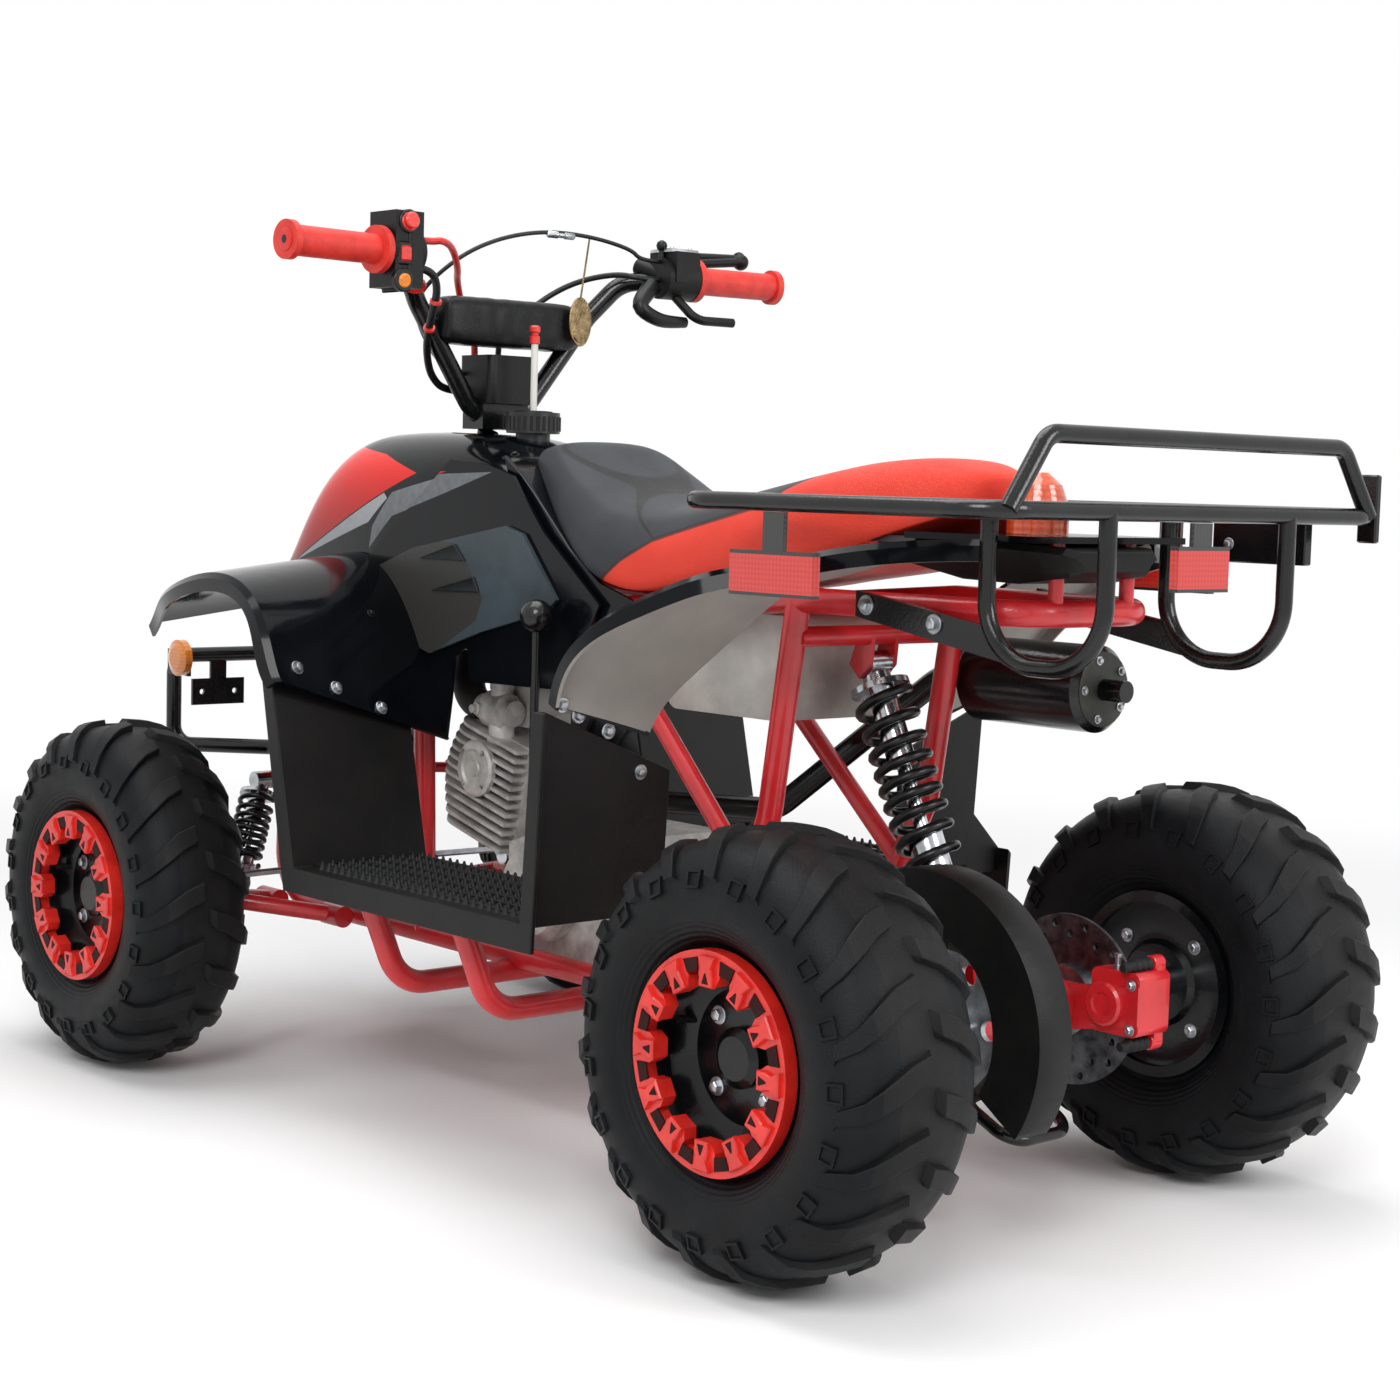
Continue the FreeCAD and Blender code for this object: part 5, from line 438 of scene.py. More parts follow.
def screws(name, body, seats, size, material):
    """Hexagon heads on washers. Each seat is a place and the direction that the head points."""
    heads = Shape()
    for spot, out in seats:
        for sides, profile in (16, WASHER), (6, HEXAGON):
            heads.turned(spot, out, [(h * size / 2, r * size / 2) for h, r in profile], sides, seated=True)
    heads.made(name, body, material, sharp=30)


def circle(count, centre, radius, out, start=pi / 4):
    """Seats on a circle round an axle that runs along Y."""
    x, y, z = centre
    return [((x + radius * cos(a), y, z + radius * sin(a)), (0, out, 0)) for a in angles(count, start)]


for name, (x, y, z), width, body, stood in WHEELS:
    side = 1 if y > 0 else -1
    nuts = circle(4, (x, y + side * NUT_FACE, z), NUT_CIRCLE, side)
    screws("wheel_nuts_" + name, body, nuts, NUT_SIZE, zinc)
    face = y + side * (REAR_RING_FACE if width == REAR_WIDTH else FRONT_RING_FACE)
    heart = Vector((x, face - side * RING_SINK, z))
    blocks, shade_plates = Shape(), Shape()
    for number, turn in enumerate(angles(RING_LUGS)):
        out, round_it = Vector((cos(turn), 0, sin(turn))), Vector((-sin(turn), 0, cos(turn)))

        def outline(edge, rise=0.0):
            """A closed outline that is the same on both sides of this lug's middle."""
            foot = heart + Vector((0, side * rise, 0))
            return ([foot + out * r + round_it * w for r, w in edge]
                    + [foot + out * r - round_it * w for r, w in reversed(edge)])

        # Odd places get a near-black plate of painted shade in the pocket; even ones a lug, with painted shade
        # in its hole.
        if number % 2:
            shade_plates.plate(outline(POCKET), (0, side, 0), 0.0016, 0.0003)
        else:
            blocks.plate(outline(CASTLE), (0, side, 0), 0.005, 0.0014)
            shade_plates.plate(outline(LUG_HOLE, 0.004), (0, side, 0), 0.0012, 0.0002)
    blocks.made("bead_ring_lugs_" + name, body, ring_red)
    shade_plates.made("bead_ring_painted_shades_" + name, body, painted_pocket_shade)

# Three dampers, two in front and one behind. Each has a coil spring of round black wire over a
# polished tube, and its coils lie closer at the ends.
FRONT_COIL, REAR_COIL = (0.022, 0.03, 0.046, 0.0062, 8), (0.028, 0.04, 0.064, 0.01, 9)
SPRINGS = (((0.5545, 0.15, 0.318), (0.516, 0.205, 0.2007), FRONT_COIL),
           ((0.5545, -0.15, 0.318), (0.516, -0.205, 0.2007), FRONT_COIL),
           ((-0.3465, 0, 0.522), (-0.4565, 0, 0.292), REAR_COIL))
COIL_STEPS, COIL_CROWDING, WIRE_SIDES = 20, 0.035, 10
dress(finish("polished_damper", "9fa3a7", "d9dcdf", 0.03, (0.1, 0.24), 0.0001, 0.002, metal=1.0)[0], "shocks")
spring_black = finish("spring_enamel", "0a0a0b", "17181a", 0.02, (0.22, 0.4), 0.0002, 0.002, specular=0.35)[0]
springs = Shape()
for top, foot, (eye, collar, outer, wire, turns) in SPRINGS:
    top, foot = Vector(top), Vector(foot)
    run = (foot - top).normalized()
    u = run.orthogonal().normalized()
    v = run.cross(u)
    start = eye * 0.8 + collar * 0.15 + wire * 0.5
    end = (foot - top).length - eye * 0.95 - wire * 0.5
    rings = []
    for step in range(turns * COIL_STEPS + 1):
        t = step / (turns * COIL_STEPS)
        eased = t + COIL_CROWDING * sin(2 * pi * t)
        out = u * cos(2 * pi * turns * t) + v * sin(2 * pi * turns * t)
        heart = top + run * (start + (end - start) * eased) + out * (outer / 2 - wire / 2)
        rings.append([heart + (out * cos(a) + run * sin(a)) * wire / 2 for a in angles(WIRE_SIDES)])
    springs.rings(rings)
coils = springs.smooth("damper_springs", spring_black)
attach(coils, "chassis")
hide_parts("shock_springs")

# Engine: a sand cast alloy crankcase and a finned cylinder, whose round rocker cover is held by four
# small screws. Beside it sits a pale grey airbox of moulded plastic.
ROCKER_X, ROCKER_Y, ROCKER_Z = 0.225, 0.0615, 0.362
alloy = finish("sand_cast_alloy", "a3a29e", "cfcdc8", 0.02, (0.35, 0.6), 0.0009, 0.0015, metal=0.35)[0]
dress(alloy, "engine_case", "engine_cylinder")
dress(finish("airbox_moulding", "a3a19b", "c0beb8", 0.06, (0.45, 0.62), 0.0003, 0.001)[0], "airbox")
Shape().turned((ROCKER_X, ROCKER_Y, ROCKER_Z), (0, 1, 0), (
    (0.0, 0.033), (0.006, 0.033), (0.0085, 0.03), (0.009, 0.0225), (0.0065, 0.0205), (0.0065, 0.01),
    (0.0085, 0.0085), (0.0085, 0.004)), sides=32).made("rocker_cover", "chassis", alloy)
screws("rocker_screws", "chassis", circle(4, (ROCKER_X, ROCKER_Y + 0.008, ROCKER_Z), 0.0262, 1), 0.006, zinc)

# Mouldings in grained matt black: both footwells, the dash box, the switch housings and the chain
# guard. Their edges are eased, as the mould leaves them, and those of the cast caliper too.
JOIN_WITHIN, EDGE_EASE = 0.00002, 0.0018
matt_black = finish("grained_black_moulding", "090909", "121110", 0.05, (0.34, 0.52), 0.0006, 0.0011,
                    specular=0.24)[0]
dress(matt_black, "footwell_left", "footwell_right", "dash_box", "bar_controls", "chain_guard")
for name in ("footwell_left", "footwell_right", "dash_box", "chain_guard", "brake_caliper"):
    nodes[name].modifiers.new("joined_edges", "WELD").merge_threshold = JOIN_WITHIN
    eased = nodes[name].modifiers.new("eased_edges", "BEVEL")
    eased.width = EDGE_EASE
    eased.segments = 2
    eased.limit_method = "ANGLE"
    eased.angle_limit = radians(40)
    eased.harden_normals = True

# Front body: one moulding with cowl, flanks and both fenders, in gloss black. Its flanks carry a red
# field, grey and silver sweeps and a red pinstripe under the lacquer.
FLANK_FROM, FLANK_TO = 0.055, 0.1235
gloss, at_body, under = finish("black_gloss_moulding", "07080b", "0c0e12", 0.12, (0.07, 0.16), 0.00008, 0.01,
                               specular=0.2)
along, across, up = at_body.axis(0), at_body.axis(1), at_body.axis(2)
flank = (abs(across) > FLANK_FROM) * (abs(across) < FLANK_TO)


def inside(field_x, field_z, corners):
    """1 within the outline, whose corners go clockwise seen from the left side."""
    kept = None
    for (x0, z0), (x1, z1) in zip(corners, corners[1:] + corners[:1]):
        test = (field_z - z0) * (x1 - x0) - (field_x - x0) * (z1 - z0) > 0.0
        kept = test if kept is None else kept * test
    return kept


red_field, silver, grey, grey_tail, pinstripe = (inside(along, up, corners) * flank for corners in (
    ((0.27, 0.71), (0.58, 0.586), (0.61, 0.78), (0.379, 0.722)),
    ((0.341, 0.6705), (0.379, 0.6414), (0.568, 0.589), (0.349, 0.6765)),
    ((0.131, 0.7035), (0.217, 0.6793), (0.327, 0.65), (0.332, 0.6776), (0.229, 0.7)),
    ((0.327, 0.65), (0.376, 0.611), (0.3695, 0.637), (0.332, 0.6776)),
    ((0.103, 0.7045), (0.235, 0.6995), (0.335, 0.6795), (0.335, 0.682), (0.235, 0.703))))
speckle = at_body.cloud(120.0, 6.0)
fall = at_body.node("MapRange", {0: up, 1: 0.6, 2: 0.72})
painted = red_field.mix(under, fall.mix(hue("9c1414"), hue("e3261f")))
painted = (silver * (0.75 + speckle * 0.25)).mix(painted, hue("a9adb1"))
painted = (grey + grey_tail).mix(painted, speckle.mix(hue("55585c"), hue("7e8286")))
pinstripe.mix(painted, hue("d2231f")).into("Base Color")
dress(gloss, "front_body")

# Rear fender: moulded in gloss black. Its underside was left unpainted and shows the warm grey of
# the plastic, cloudy with dust.
UNDERSIDE = -0.12
fender_black, at_fender, fender_shade = finish("fender_black_over_grey", "07080b", "0c0e12", 0.12,
                                               (0.08, 0.18), 0.0001, 0.01, specular=0.15)
faces_down = at_fender.node("NewGeometry", out="Normal").axis(2) < UNDERSIDE
raw_grey = at_fender.cloud(25.0, 5.0).mix(hue("8a8580"), hue("a39e98"))
faces_down.mix(fender_shade, raw_grey).into("Base Color")
(0.12 + faces_down * 0.4).into("Roughness")
dress(fender_black, "rear_fender")

# Knee panels: slate plastic beside the engine, with a dark scoop in the middle. Two louvres with
# three corners each are let into it and stand a little proud. They are near black: painted shade of
# the slots behind them.
SIDES = ((1, "left"), (-1, "right"))
KNEE_FACE = 0.1266
LOUVRES = (((0.2576, 0.6037), (0.1883, 0.6222), (0.1688, 0.6039)),
           ((0.2329, 0.5684), (0.1513, 0.5869), (0.1415, 0.5707)))
slate, on_panel, slate_shade = finish("slate_knee_panel", "2f373c", "3f4a50", 0.08, (0.24, 0.4), 0.0003,
                                      0.002, specular=0.25)
scoop = inside(on_panel.axis(0), on_panel.axis(2), [
    (0.1479, 0.539), (0.26, 0.48), (0.38, 0.5), (0.38, 0.64), (0.1883, 0.6222), (0.1688, 0.604),
    (0.1375, 0.5642)])
scoop.mix(slate_shade, hue("393837")).into("Base Color")
dress(slate, "knee_panels")
# Near black, for painted shade where the louvres open into the panel.
louvre_slot_shade = finish("louvre_shadow", "0c0e10", "15181a", 0.03, (0.4, 0.6), 0.0002, 0.002, specular=0.25)[0]
for side, label in SIDES:
    vents = Shape()
    for corners in LOUVRES:
        middle = sum((Vector((x, 0, z)) for x, z in corners), Vector()) / len(corners)
        vents.raised([[(middle.x + (x - middle.x) * share, side * (KNEE_FACE + depth),
                        middle.z + (z - middle.z) * share) for x, z in corners]
                      for share, depth in ((1.0, 0.0), (1.0, 0.0012), (0.93, 0.0026), (0.78, 0.0022))])
    vents.made("knee_louvres_" + label, "chassis", louvre_slot_shade, sharp=30)

# Side covers: a thin black moulding closes each side below the seat, from the front body back to the
# rear fender. A ledge along its upper edge goes in under the seat.
COVER_FACE, COVER_THICK = 0.1085, 0.0045
LEDGE_OUT, LEDGE_IN = 0.1095, 0.045
COVER_LINE = ((0.12, 0.722), (0.092, 0.704), (0.0705, 0.686), (0.0015, 0.625), (-0.052, 0.589),
              (-0.108, 0.573), (-0.112, 0.556), (-0.02, 0.54), (0.022, 0.522), (0.06, 0.56))
LEDGE_LINE = ((0.128, 0.7225),) + COVER_LINE[:4]
for side, label in SIDES:
    shell = Shape().plate([(x, side * COVER_FACE, z) for x, z in COVER_LINE], (0, side, 0), COVER_THICK, 0.0015)
    shell.rings([[(x, side * LEDGE_OUT, z - 0.0015), (x, side * LEDGE_OUT, z - 0.0045),
                  (x, side * LEDGE_IN, z - 0.0065), (x, side * LEDGE_IN, z - 0.0035)] for x, z in LEDGE_LINE])
    shell.made("side_cover_" + label, "chassis", gloss)

# The seat: moulded foam under a tight vinyl cover, charcoal on top with red side panels that are
# sewn on along a welted seam, and lower edges that tuck under the pan.
SEAT_NOSE, SEAT_TAIL = 0.1205, -0.5065
SEAT_ROWS = ((0.0, 0.068, 0.716, 0.734), (0.074, 0.09, 0.684, 0.74), (0.152, 0.105, 0.637, 0.717),
             (0.229, 0.113, 0.604, 0.692), (0.307, 0.119, 0.588, 0.678), (0.384, 0.126, 0.584, 0.675),
             (0.462, 0.133, 0.589, 0.679), (0.538, 0.136, 0.597, 0.687), (0.616, 0.136, 0.604, 0.697),
             (0.693, 0.135, 0.611, 0.707), (0.771, 0.13, 0.62, 0.717), (0.848, 0.118, 0.635, 0.725),
             (0.926, 0.094, 0.656, 0.727), (0.985, 0.056, 0.674, 0.717), (1.0, 0.034, 0.68, 0.708))
ACROSS = ((0.97, 0.0), (1.0, 0.1), (0.99, 0.3), (0.96, 0.5), (0.895, 0.7), (0.79, 0.85), (0.575, 0.95),
          (0.3, 0.99), (0.0, 1.0))
PANEL_FRONT, WELT_HALF, STITCH_HALF = -0.045, 0.0022, 0.0014
vinyl, on_seat, grey_vinyl = finish("seat_vinyl", "2c2f33", "3a3d42", 0.1, (0.38, 0.54), 0.0006, 0.0016,
                                    specular=0.28)
seat_x, seat_z = on_seat.axis(0), on_seat.axis(2)
back = 0.0 - seat_x
seam = on_seat.maths("MINIMUM", 0.593 + (back - 0.056) * 0.61, 0.6156 + (back - 0.093) * 0.42)
seam = on_seat.maths("MINIMUM", seam, 0.64 + (back - 0.155) * 0.245)
seam = on_seat.maths("MAXIMUM", seam, 0.64 + (back - 0.25) * 0.7)
side_panel = (seat_z < seam) * (seat_x < PANEL_FRONT)
welt = (abs(seat_z - seam) < WELT_HALF) * (seat_x < PANEL_FRONT)
top_seam = (abs(seat_z - 0.732 + (back + 0.0713) * 0.425) < STITCH_HALF) * (abs(seat_x + 0.04) < 0.125)
welt = on_seat.maths("MAXIMUM", welt, top_seam * (seat_z > seam))
red_vinyl = on_seat.cloud(14.0, 3.0).mix(hue("d73222"), hue("e84632"))
panel_colour = side_panel.mix(grey_vinyl, red_vinyl)
(welt * 0.8).mix(panel_colour, hue("1c1b1c")).into("Base Color")
hide = on_seat.node("TexVoronoi", {"Vector": on_seat, "Scale": 620.0}, feature="DISTANCE_TO_EDGE")
height = on_seat.maths("MINIMUM", hide * 6.0, 1.0) * 0.35 + on_seat.cloud(22.0, 2.0) * 3.0 - welt * 2.5
height.bump(0.0008, 0.8)


def rounded(made):
    """One step of subdivision rounds a soft piece."""
    step = made.modifiers.new("round", "SUBSURF")
    step.levels = step.render_levels = 1


rings = []
for share, wide, low, high in through(SEAT_ROWS, 4):
    ahead = SEAT_NOSE + (SEAT_TAIL - SEAT_NOSE) * share
    ring = [Vector((ahead, wide * a, low + (high - low) * b)) for a, b in through(ACROSS, 3)]
    rings.append(ring + [Vector((p.x, -p.y, p.z)) for p in reversed(ring[:-1])])
seat = Shape().rings(rings).smooth("seat_cushion", vinyl)
rounded(seat)
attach(seat, "chassis")
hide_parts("seat")

# The pad on the handlebar's cross tube: a foam block in a black laced cover, with soft folds.
# It is pushed over the tube and held by its lace.
PAD_HALF, PAD_STATIONS, PAD_SIDES = 0.0985, 32, 28
PAD_X, PAD_Z, PAD_DEPTH, PAD_HEIGHT = 0.2745, 0.877, 0.0245, 0.028
pad_cover = finish("pad_cover", "08090a", "121314", 0.02, (0.22, 0.4), 0.0006, 0.0012, specular=0.24)[0]
rings = []
for step in range(PAD_STATIONS + 1):
    t = step / PAD_STATIONS
    y = -PAD_HALF + 2 * PAD_HALF * t
    end = 1 - (abs(2 * t - 1)) ** 11 * 0.22
    ring = []
    for a in angles(PAD_SIDES):
        cx, cz = cos(a), sin(a)
        fold = 1 + 0.03 * noise.noise(Vector((y * 70, a * 0.9, 3.0))) + 0.006 * sin(y * 260 + 3 * cos(a))
        reach = (abs(cx) ** 5 + abs(cz) ** 5) ** -0.2 * fold * end
        ring.append((PAD_X + PAD_DEPTH * cx * reach, y, PAD_Z + PAD_HEIGHT * cz * reach))
    rings.append(ring)
pad = Shape().rings(rings).smooth("handlebar_pad", pad_cover)
rounded(pad)
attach(pad, "steering")
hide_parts("bar_pad")

# Reflectors and lamps: moulded lenses in red, amber and clear, with rows of prisms behind a smooth
# face. The red reflectors sit in black holders, and the middle one stands higher.
HOLDER_TOP, HOLDER_FOOT, MIDDLE_HALF, MIDDLE_RISE = 0.0365, 0.003, 0.05, 0.0136


def lens(name, dark, light, prism, rough):
    """A lens with rows of small prisms behind its face."""
    material, place, shade = finish(name, dark, light, 0.03, (rough, rough + 0.1), 0.0002, 0.004, coat=0.7)
    cells = place.node("TexVoronoi", {"Vector": place, "Scale": 1 / prism, "Randomness": 0.0}, feature="F1")
    shade = cells.mix(hue(light), hue(dark))
    shade.into("Base Color")
    cells.bump(0.0006, 0.7)
    place.tree.nodes["Principled BSDF"].inputs["Transmission Weight"].default_value = 0.12
    return material, place, shade


rear_lens, on_lens, prisms = lens("red_reflector_lens", "a50f10", "e8382b", 0.0045, 0.08)
foot = min(corner.co.z for corner in nodes["red_reflectors"].data.vertices)
rise = on_lens.axis(2) - (foot + (abs(on_lens.axis(1)) < MIDDLE_HALF) * MIDDLE_RISE)
holder = rise.maths("MAXIMUM", rise > HOLDER_TOP, rise < HOLDER_FOOT)
holder.mix(prisms, hue("101112")).into("Base Color")
dress(rear_lens, "red_reflectors")
dress(lens("amber_reflector_lens", "c05a08", "f59a2e", 0.0045, 0.08)[0], "amber_reflectors")
dress(lens("tail_lamp_lens", "c22f14", "f26a35", 0.006, 0.06)[0], "tail_lamp")
dress(lens("head_lamp_glass", "9fa6ab", "e9eef2", 0.012, 0.05)[0], "head_lamps")

# Grips of smooth red moulded rubber, each with a flange beside the switches. A plug closes the end,
# and a dark hole shows in its middle.
GRIP_X, GRIP_END, GRIP_Z = 0.1905, 0.352, 0.941
grip_red = finish("red_grip_rubber", "c42a23", "dc3a2f", 0.02, (0.4, 0.58), 0.0003, 0.0014)[0]
dress(grip_red, "grips")
plugs = Shape()
for side in (1, -1):
    plugs.turned((GRIP_X, side * GRIP_END, GRIP_Z), (0, side, 0), (
        (-0.004, 0.0125), (0.0008, 0.0125), (0.0014, 0.0115)))
plugs.made("grip_ends", "steering", grip_red)

# Controls on the handlebar: moulded switches on the left, and on the right the brake's reservoir, its
# cast lever and the thumb throttle. A bronze tag hangs on a ball chain behind the pad.
SWITCH_FACE, KILL_AT, START_AT = 0.1815, (0.203, 0.972), (0.209, 0.9085)
LID_TOP, CHAIN_TOP, CHAIN_RUN, BEADS = 0.9755, (0.23, -0.0888, 0.9793), (0.0125, 0.001, -0.067), 39
control_black = finish("control_black", "0b0c0d", "161718", 0.02, (0.26, 0.44), 0.0003, 0.001, specular=0.28)[0]
switch_red = finish("switch_red", "c8211b", "e4382e", 0.01, (0.25, 0.4), 0.0002, 0.001, coat=0.2)[0]
amber = finish("start_amber", "d8741a", "f09432", 0.01, (0.3, 0.4), 0.0002, 0.001)[0]
bronze = finish("bronze_tag", "6d5a41", "a58f6c", 0.01, (0.25, 0.5), 0.0006, 0.002, metal=1.0)[0]
kill = Shape().turned((SWITCH_FACE, *KILL_AT), (-1, 0, 0.1), (
    (0.0, 0.0105), (0.004, 0.0105), (0.005, 0.009), (0.0095, 0.009), (0.0108, 0.0076)))
kill.block((0.179, 0.2075, 0.937), (0.01, 0.013, 0.017), 0.002)
kill.made("kill_button", "steering", switch_red)
Shape().turned((SWITCH_FACE, *START_AT), (-1, 0, -0.15), (
    (0.0, 0.0078), (0.005, 0.0078), (0.0065, 0.0062))).made("start_button", "steering", amber)
details = Shape()
for at in (KILL_AT, START_AT):
    details.turned((SWITCH_FACE - 0.0015, *at), (-1, 0, 0), (
        (-0.004, 0.013), (0.0015, 0.013), (0.0025, 0.0118)))
details.block((0.2045, 0.2015, 0.941), (0.0535, 0.0035, 0.088), 0.0015)
details.block((0.1815, 0.2075, 0.9375), (0.008, 0.019, 0.026), 0.002)
for side in (1, -1):
    details.turned((GRIP_X, side * GRIP_END, GRIP_Z), (0, side, 0), ((-0.002, 0.0044), (0.0017, 0.0044)))
# the thumb throttle under the right housing
details.rod(((0.208, -0.168, 0.93), (0.1945, -0.14, 0.905), (0.19, -0.166, 0.89), (0.188, -0.205, 0.889)),
            (0.011, 0.0095, 0.0085, 0.0065), sides=14)
# the brake lever ahead of the right grip, its ball end, and the bolt that it turns on
details.rod(((0.212, -0.186, 0.96), (0.23, -0.205, 0.972), (0.246, -0.25, 0.974), (0.25, -0.3, 0.977),
             (0.252, -0.345, 0.979)), (0.0075, 0.007, 0.0055, 0.005, 0.005), sides=12)
details.turned((0.252, -0.341, 0.979), (0, -1, 0.05), (
    (0.0, 0.004), (0.002, 0.0072), (0.006, 0.0086), (0.01, 0.0076), (0.013, 0.0035)))
details.turned((0.205, -0.18, 0.962), (0, 0, 1), (
    (0.0, 0.0036), (0.011, 0.0034), (0.013, 0.0056), (0.017, 0.0068), (0.021, 0.0056), (0.0235, 0.002)))
details.made("control_details", "steering", control_black)
# the reservoir's lid, and the adjuster in the throttle cable
lid_corners = ((0.186, -0.18), (0.226, -0.18), (0.226, -0.222), (0.186, -0.222))
lid = Shape().plate([(x, y, 0.9715) for x, y in lid_corners], (0, 0, 1), 0.0042, 0.0012)
lid.turned((0.2425, -0.035, 0.9828), (-0.21, -0.97, -0.02), (
    (0.0, 0.003), (0.002, 0.0044), (0.014, 0.0044), (0.015, 0.0034), (0.022, 0.0034), (0.023, 0.0044),
    (0.034, 0.0044), (0.036, 0.003)), sides=12)
lid.made("reservoir_lid", "steering", zinc)
screws("lid_screws", "steering", [
    ((x, y, LID_TOP), (0, 0, 1)) for x in (0.194, 0.218) for y in (-0.187, -0.215)], 0.0055, zinc)
tag = Shape()
for step in range(BEADS):
    tag.turned([top + run * step / (BEADS - 1) for top, run in zip(CHAIN_TOP, CHAIN_RUN)], (0, 0, 1), (
        (-0.0013, 0.0004), (-0.0009, 0.001), (0.0, 0.0013), (0.0009, 0.001), (0.0013, 0.0004)), sides=8)
for x, z, wide, tall, sides, thick in (
        (0.2425, 0.884, 0.0165, 0.029, 36, 0.0022), (0.2404, 0.868, 0.0105, 0.0085, 28, 0.0014)):
    oval = [(x, -0.087 + wide * cos(a), z + tall * sin(a)) for a in angles(sides)]
    tag.plate(oval, (-1, 0, 0), thick, 0.0006)
tag.made("tag_and_chain", "steering", bronze)

# Cords: the throttle cable, the brake hose, the wiring and a red hose come from the switches,
# pass over the pad and go down behind the steering stem. Red bands hold them together.
cable_black = finish("cable_cover_black", "0b0c0d", "17181a", 0.01, (0.34, 0.5), 0.0003, 0.0012,
                     specular=0.35)[0]
hose_red = finish("red_hose_rubber", "b81b18", "dd3029", 0.01, (0.34, 0.5), 0.0003, 0.0012)[0]
CORDS = (
    ("throttle_cable", cable_black, "cable_cover", 0.005, 0.461, "stiff", (
        (0.2069, -0.1785, 0.96), (0.2096, -0.1506, 0.96), (0.2135, -0.1401, 0.972), (0.2305, -0.0901, 0.9841),
        (0.2435, -0.0299, 0.986), (0.2565, 0.0299, 0.972), (0.2705, 0.0781, 0.945), (0.3009, 0.1119, 0.9),
        (0.3124, 0.0919, 0.8619), (0.3057, 0.061, 0.8184), (0.3057, 0.033, 0.8184))),
    ("brake_hose", cable_black, "cable_cover", 0.007, 0.256, "stiff", (
        (0.2069, -0.1785, 0.9385), (0.2096, -0.1506, 0.9385), (0.2385, -0.138, 0.9445),
        (0.2817, -0.1109, 0.9349), (0.3095, -0.0803, 0.9116), (0.3153, -0.0458, 0.8805),
        (0.3121, -0.0198, 0.8677), (0.3121, -0.0198, 0.8397))),
    ("wire_loom", cable_black, "cable_cover", 0.009, 0.246, "medium", (
        (0.2069, 0.1785, 0.926), (0.2096, 0.1506, 0.926), (0.2145, 0.138, 0.905), (0.2345, 0.132, 0.878),
        (0.2606, 0.12, 0.8521), (0.2846, 0.1021, 0.8299), (0.3035, 0.082, 0.8119), (0.3083, 0.061, 0.7977),
        (0.3083, 0.033, 0.7977))),
    ("red_hose", hose_red, "red_rubber", 0.008, 0.272, "medium", (
        (0.2069, 0.1785, 0.956), (0.2096, 0.1506, 0.956), (0.2039, 0.1415, 0.9583), (0.2289, 0.1091, 0.9548),
        (0.2615, 0.0774, 0.9349), (0.298, 0.0528, 0.9254), (0.3191, 0.0282, 0.8926), (0.3108, 0.0158, 0.8677),
        (0.3108, 0.0158, 0.8397))))
for name, material, slot, thick, length, stiffness, route in CORDS:
    curve = bpy.data.curves.new(name + "_line", "CURVE")
    curve.dimensions = "3D"
    curve.bevel_depth = thick / 2
    curve.bevel_resolution = 4
    curve.use_fill_caps = True
    spline = curve.splines.new("NURBS")
    spline.points.add(len(route) - 1)
    for control, spot in zip(spline.points, route):
        control.co = (*spot, 1.0)
    spline.order_u = 3
    spline.use_endpoint_u = True
    curve.resolution_u = 12
    curve.materials.append(material)
    cord = added(name + "_cord", curve)
    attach(cord, "steering")
    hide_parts(name)
bands = Shape()
for spot, run in (((0.2475, 0.1262, 0.864), (0.75, -0.4, -0.75)), ((0.223, 0.135, 0.892), (0.5, -0.18, -0.8))):
    bands.turned(spot, run, (
        (-0.0022, 0.0062), (-0.0016, 0.0068), (0.0016, 0.0068), (0.0022, 0.0062)), sides=20)
bands.turned((0.2508, 0.144, 0.9105), (0.42, -0.3, 0.72), ((-0.002, 0.0125), (0.002, 0.0125)))
bands.made("hose_bands", "steering", switch_red)

# The fuel cap is moulded in black and ribbed round its skirt. Its vent is a milky tube that ends in
# a red valve.
CAP_X, CAP_RIBS, RIB_CIRCLE, RIB_FOOT, RIB_TOP, RIB_RADIUS = 0.2155, 26, 0.0302, 0.7525, 0.769, 0.0021
TUBE_FOOT, TUBE_TOP = 0.776, 0.852
cap, on_cap, cap_shade = finish("ribbed_cap", "101112", "1d1e20", 0.01, (0.28, 0.44), 0.0003, 0.001,
                                specular=0.4)
milky = (on_cap.axis(2) > TUBE_FOOT).mix(cap_shade, hue("d6d4ce"))
(on_cap.axis(2) > TUBE_TOP).mix(milky, hue("cf2620")).into("Base Color")
dress(cap, "fuel_cap")
skirt = Shape()
for turn in angles(CAP_RIBS):
    x, y = CAP_X + RIB_CIRCLE * cos(turn), RIB_CIRCLE * sin(turn)
    skirt.rod(((x, y, RIB_FOOT), (x, y, RIB_TOP)), RIB_RADIUS, sides=8, steps=1)
skirt.turned((CAP_X, 0, 0.7735), (0, 0, 1), ((0.0, 0.023), (0.0016, 0.0222), (0.002, 0.02)))
skirt.made("cap_ribs", "chassis", control_black)
Shape().turned((CAP_X, 0, TUBE_TOP), (0, 0, 1), (
    (0.0, 0.0042), (0.001, 0.0058), (0.009, 0.0058), (0.01, 0.004), (0.013, 0.004), (0.0145, 0.0062),
    (0.0195, 0.0062), (0.0215, 0.0045))).made("vent_valve", "chassis", switch_red)

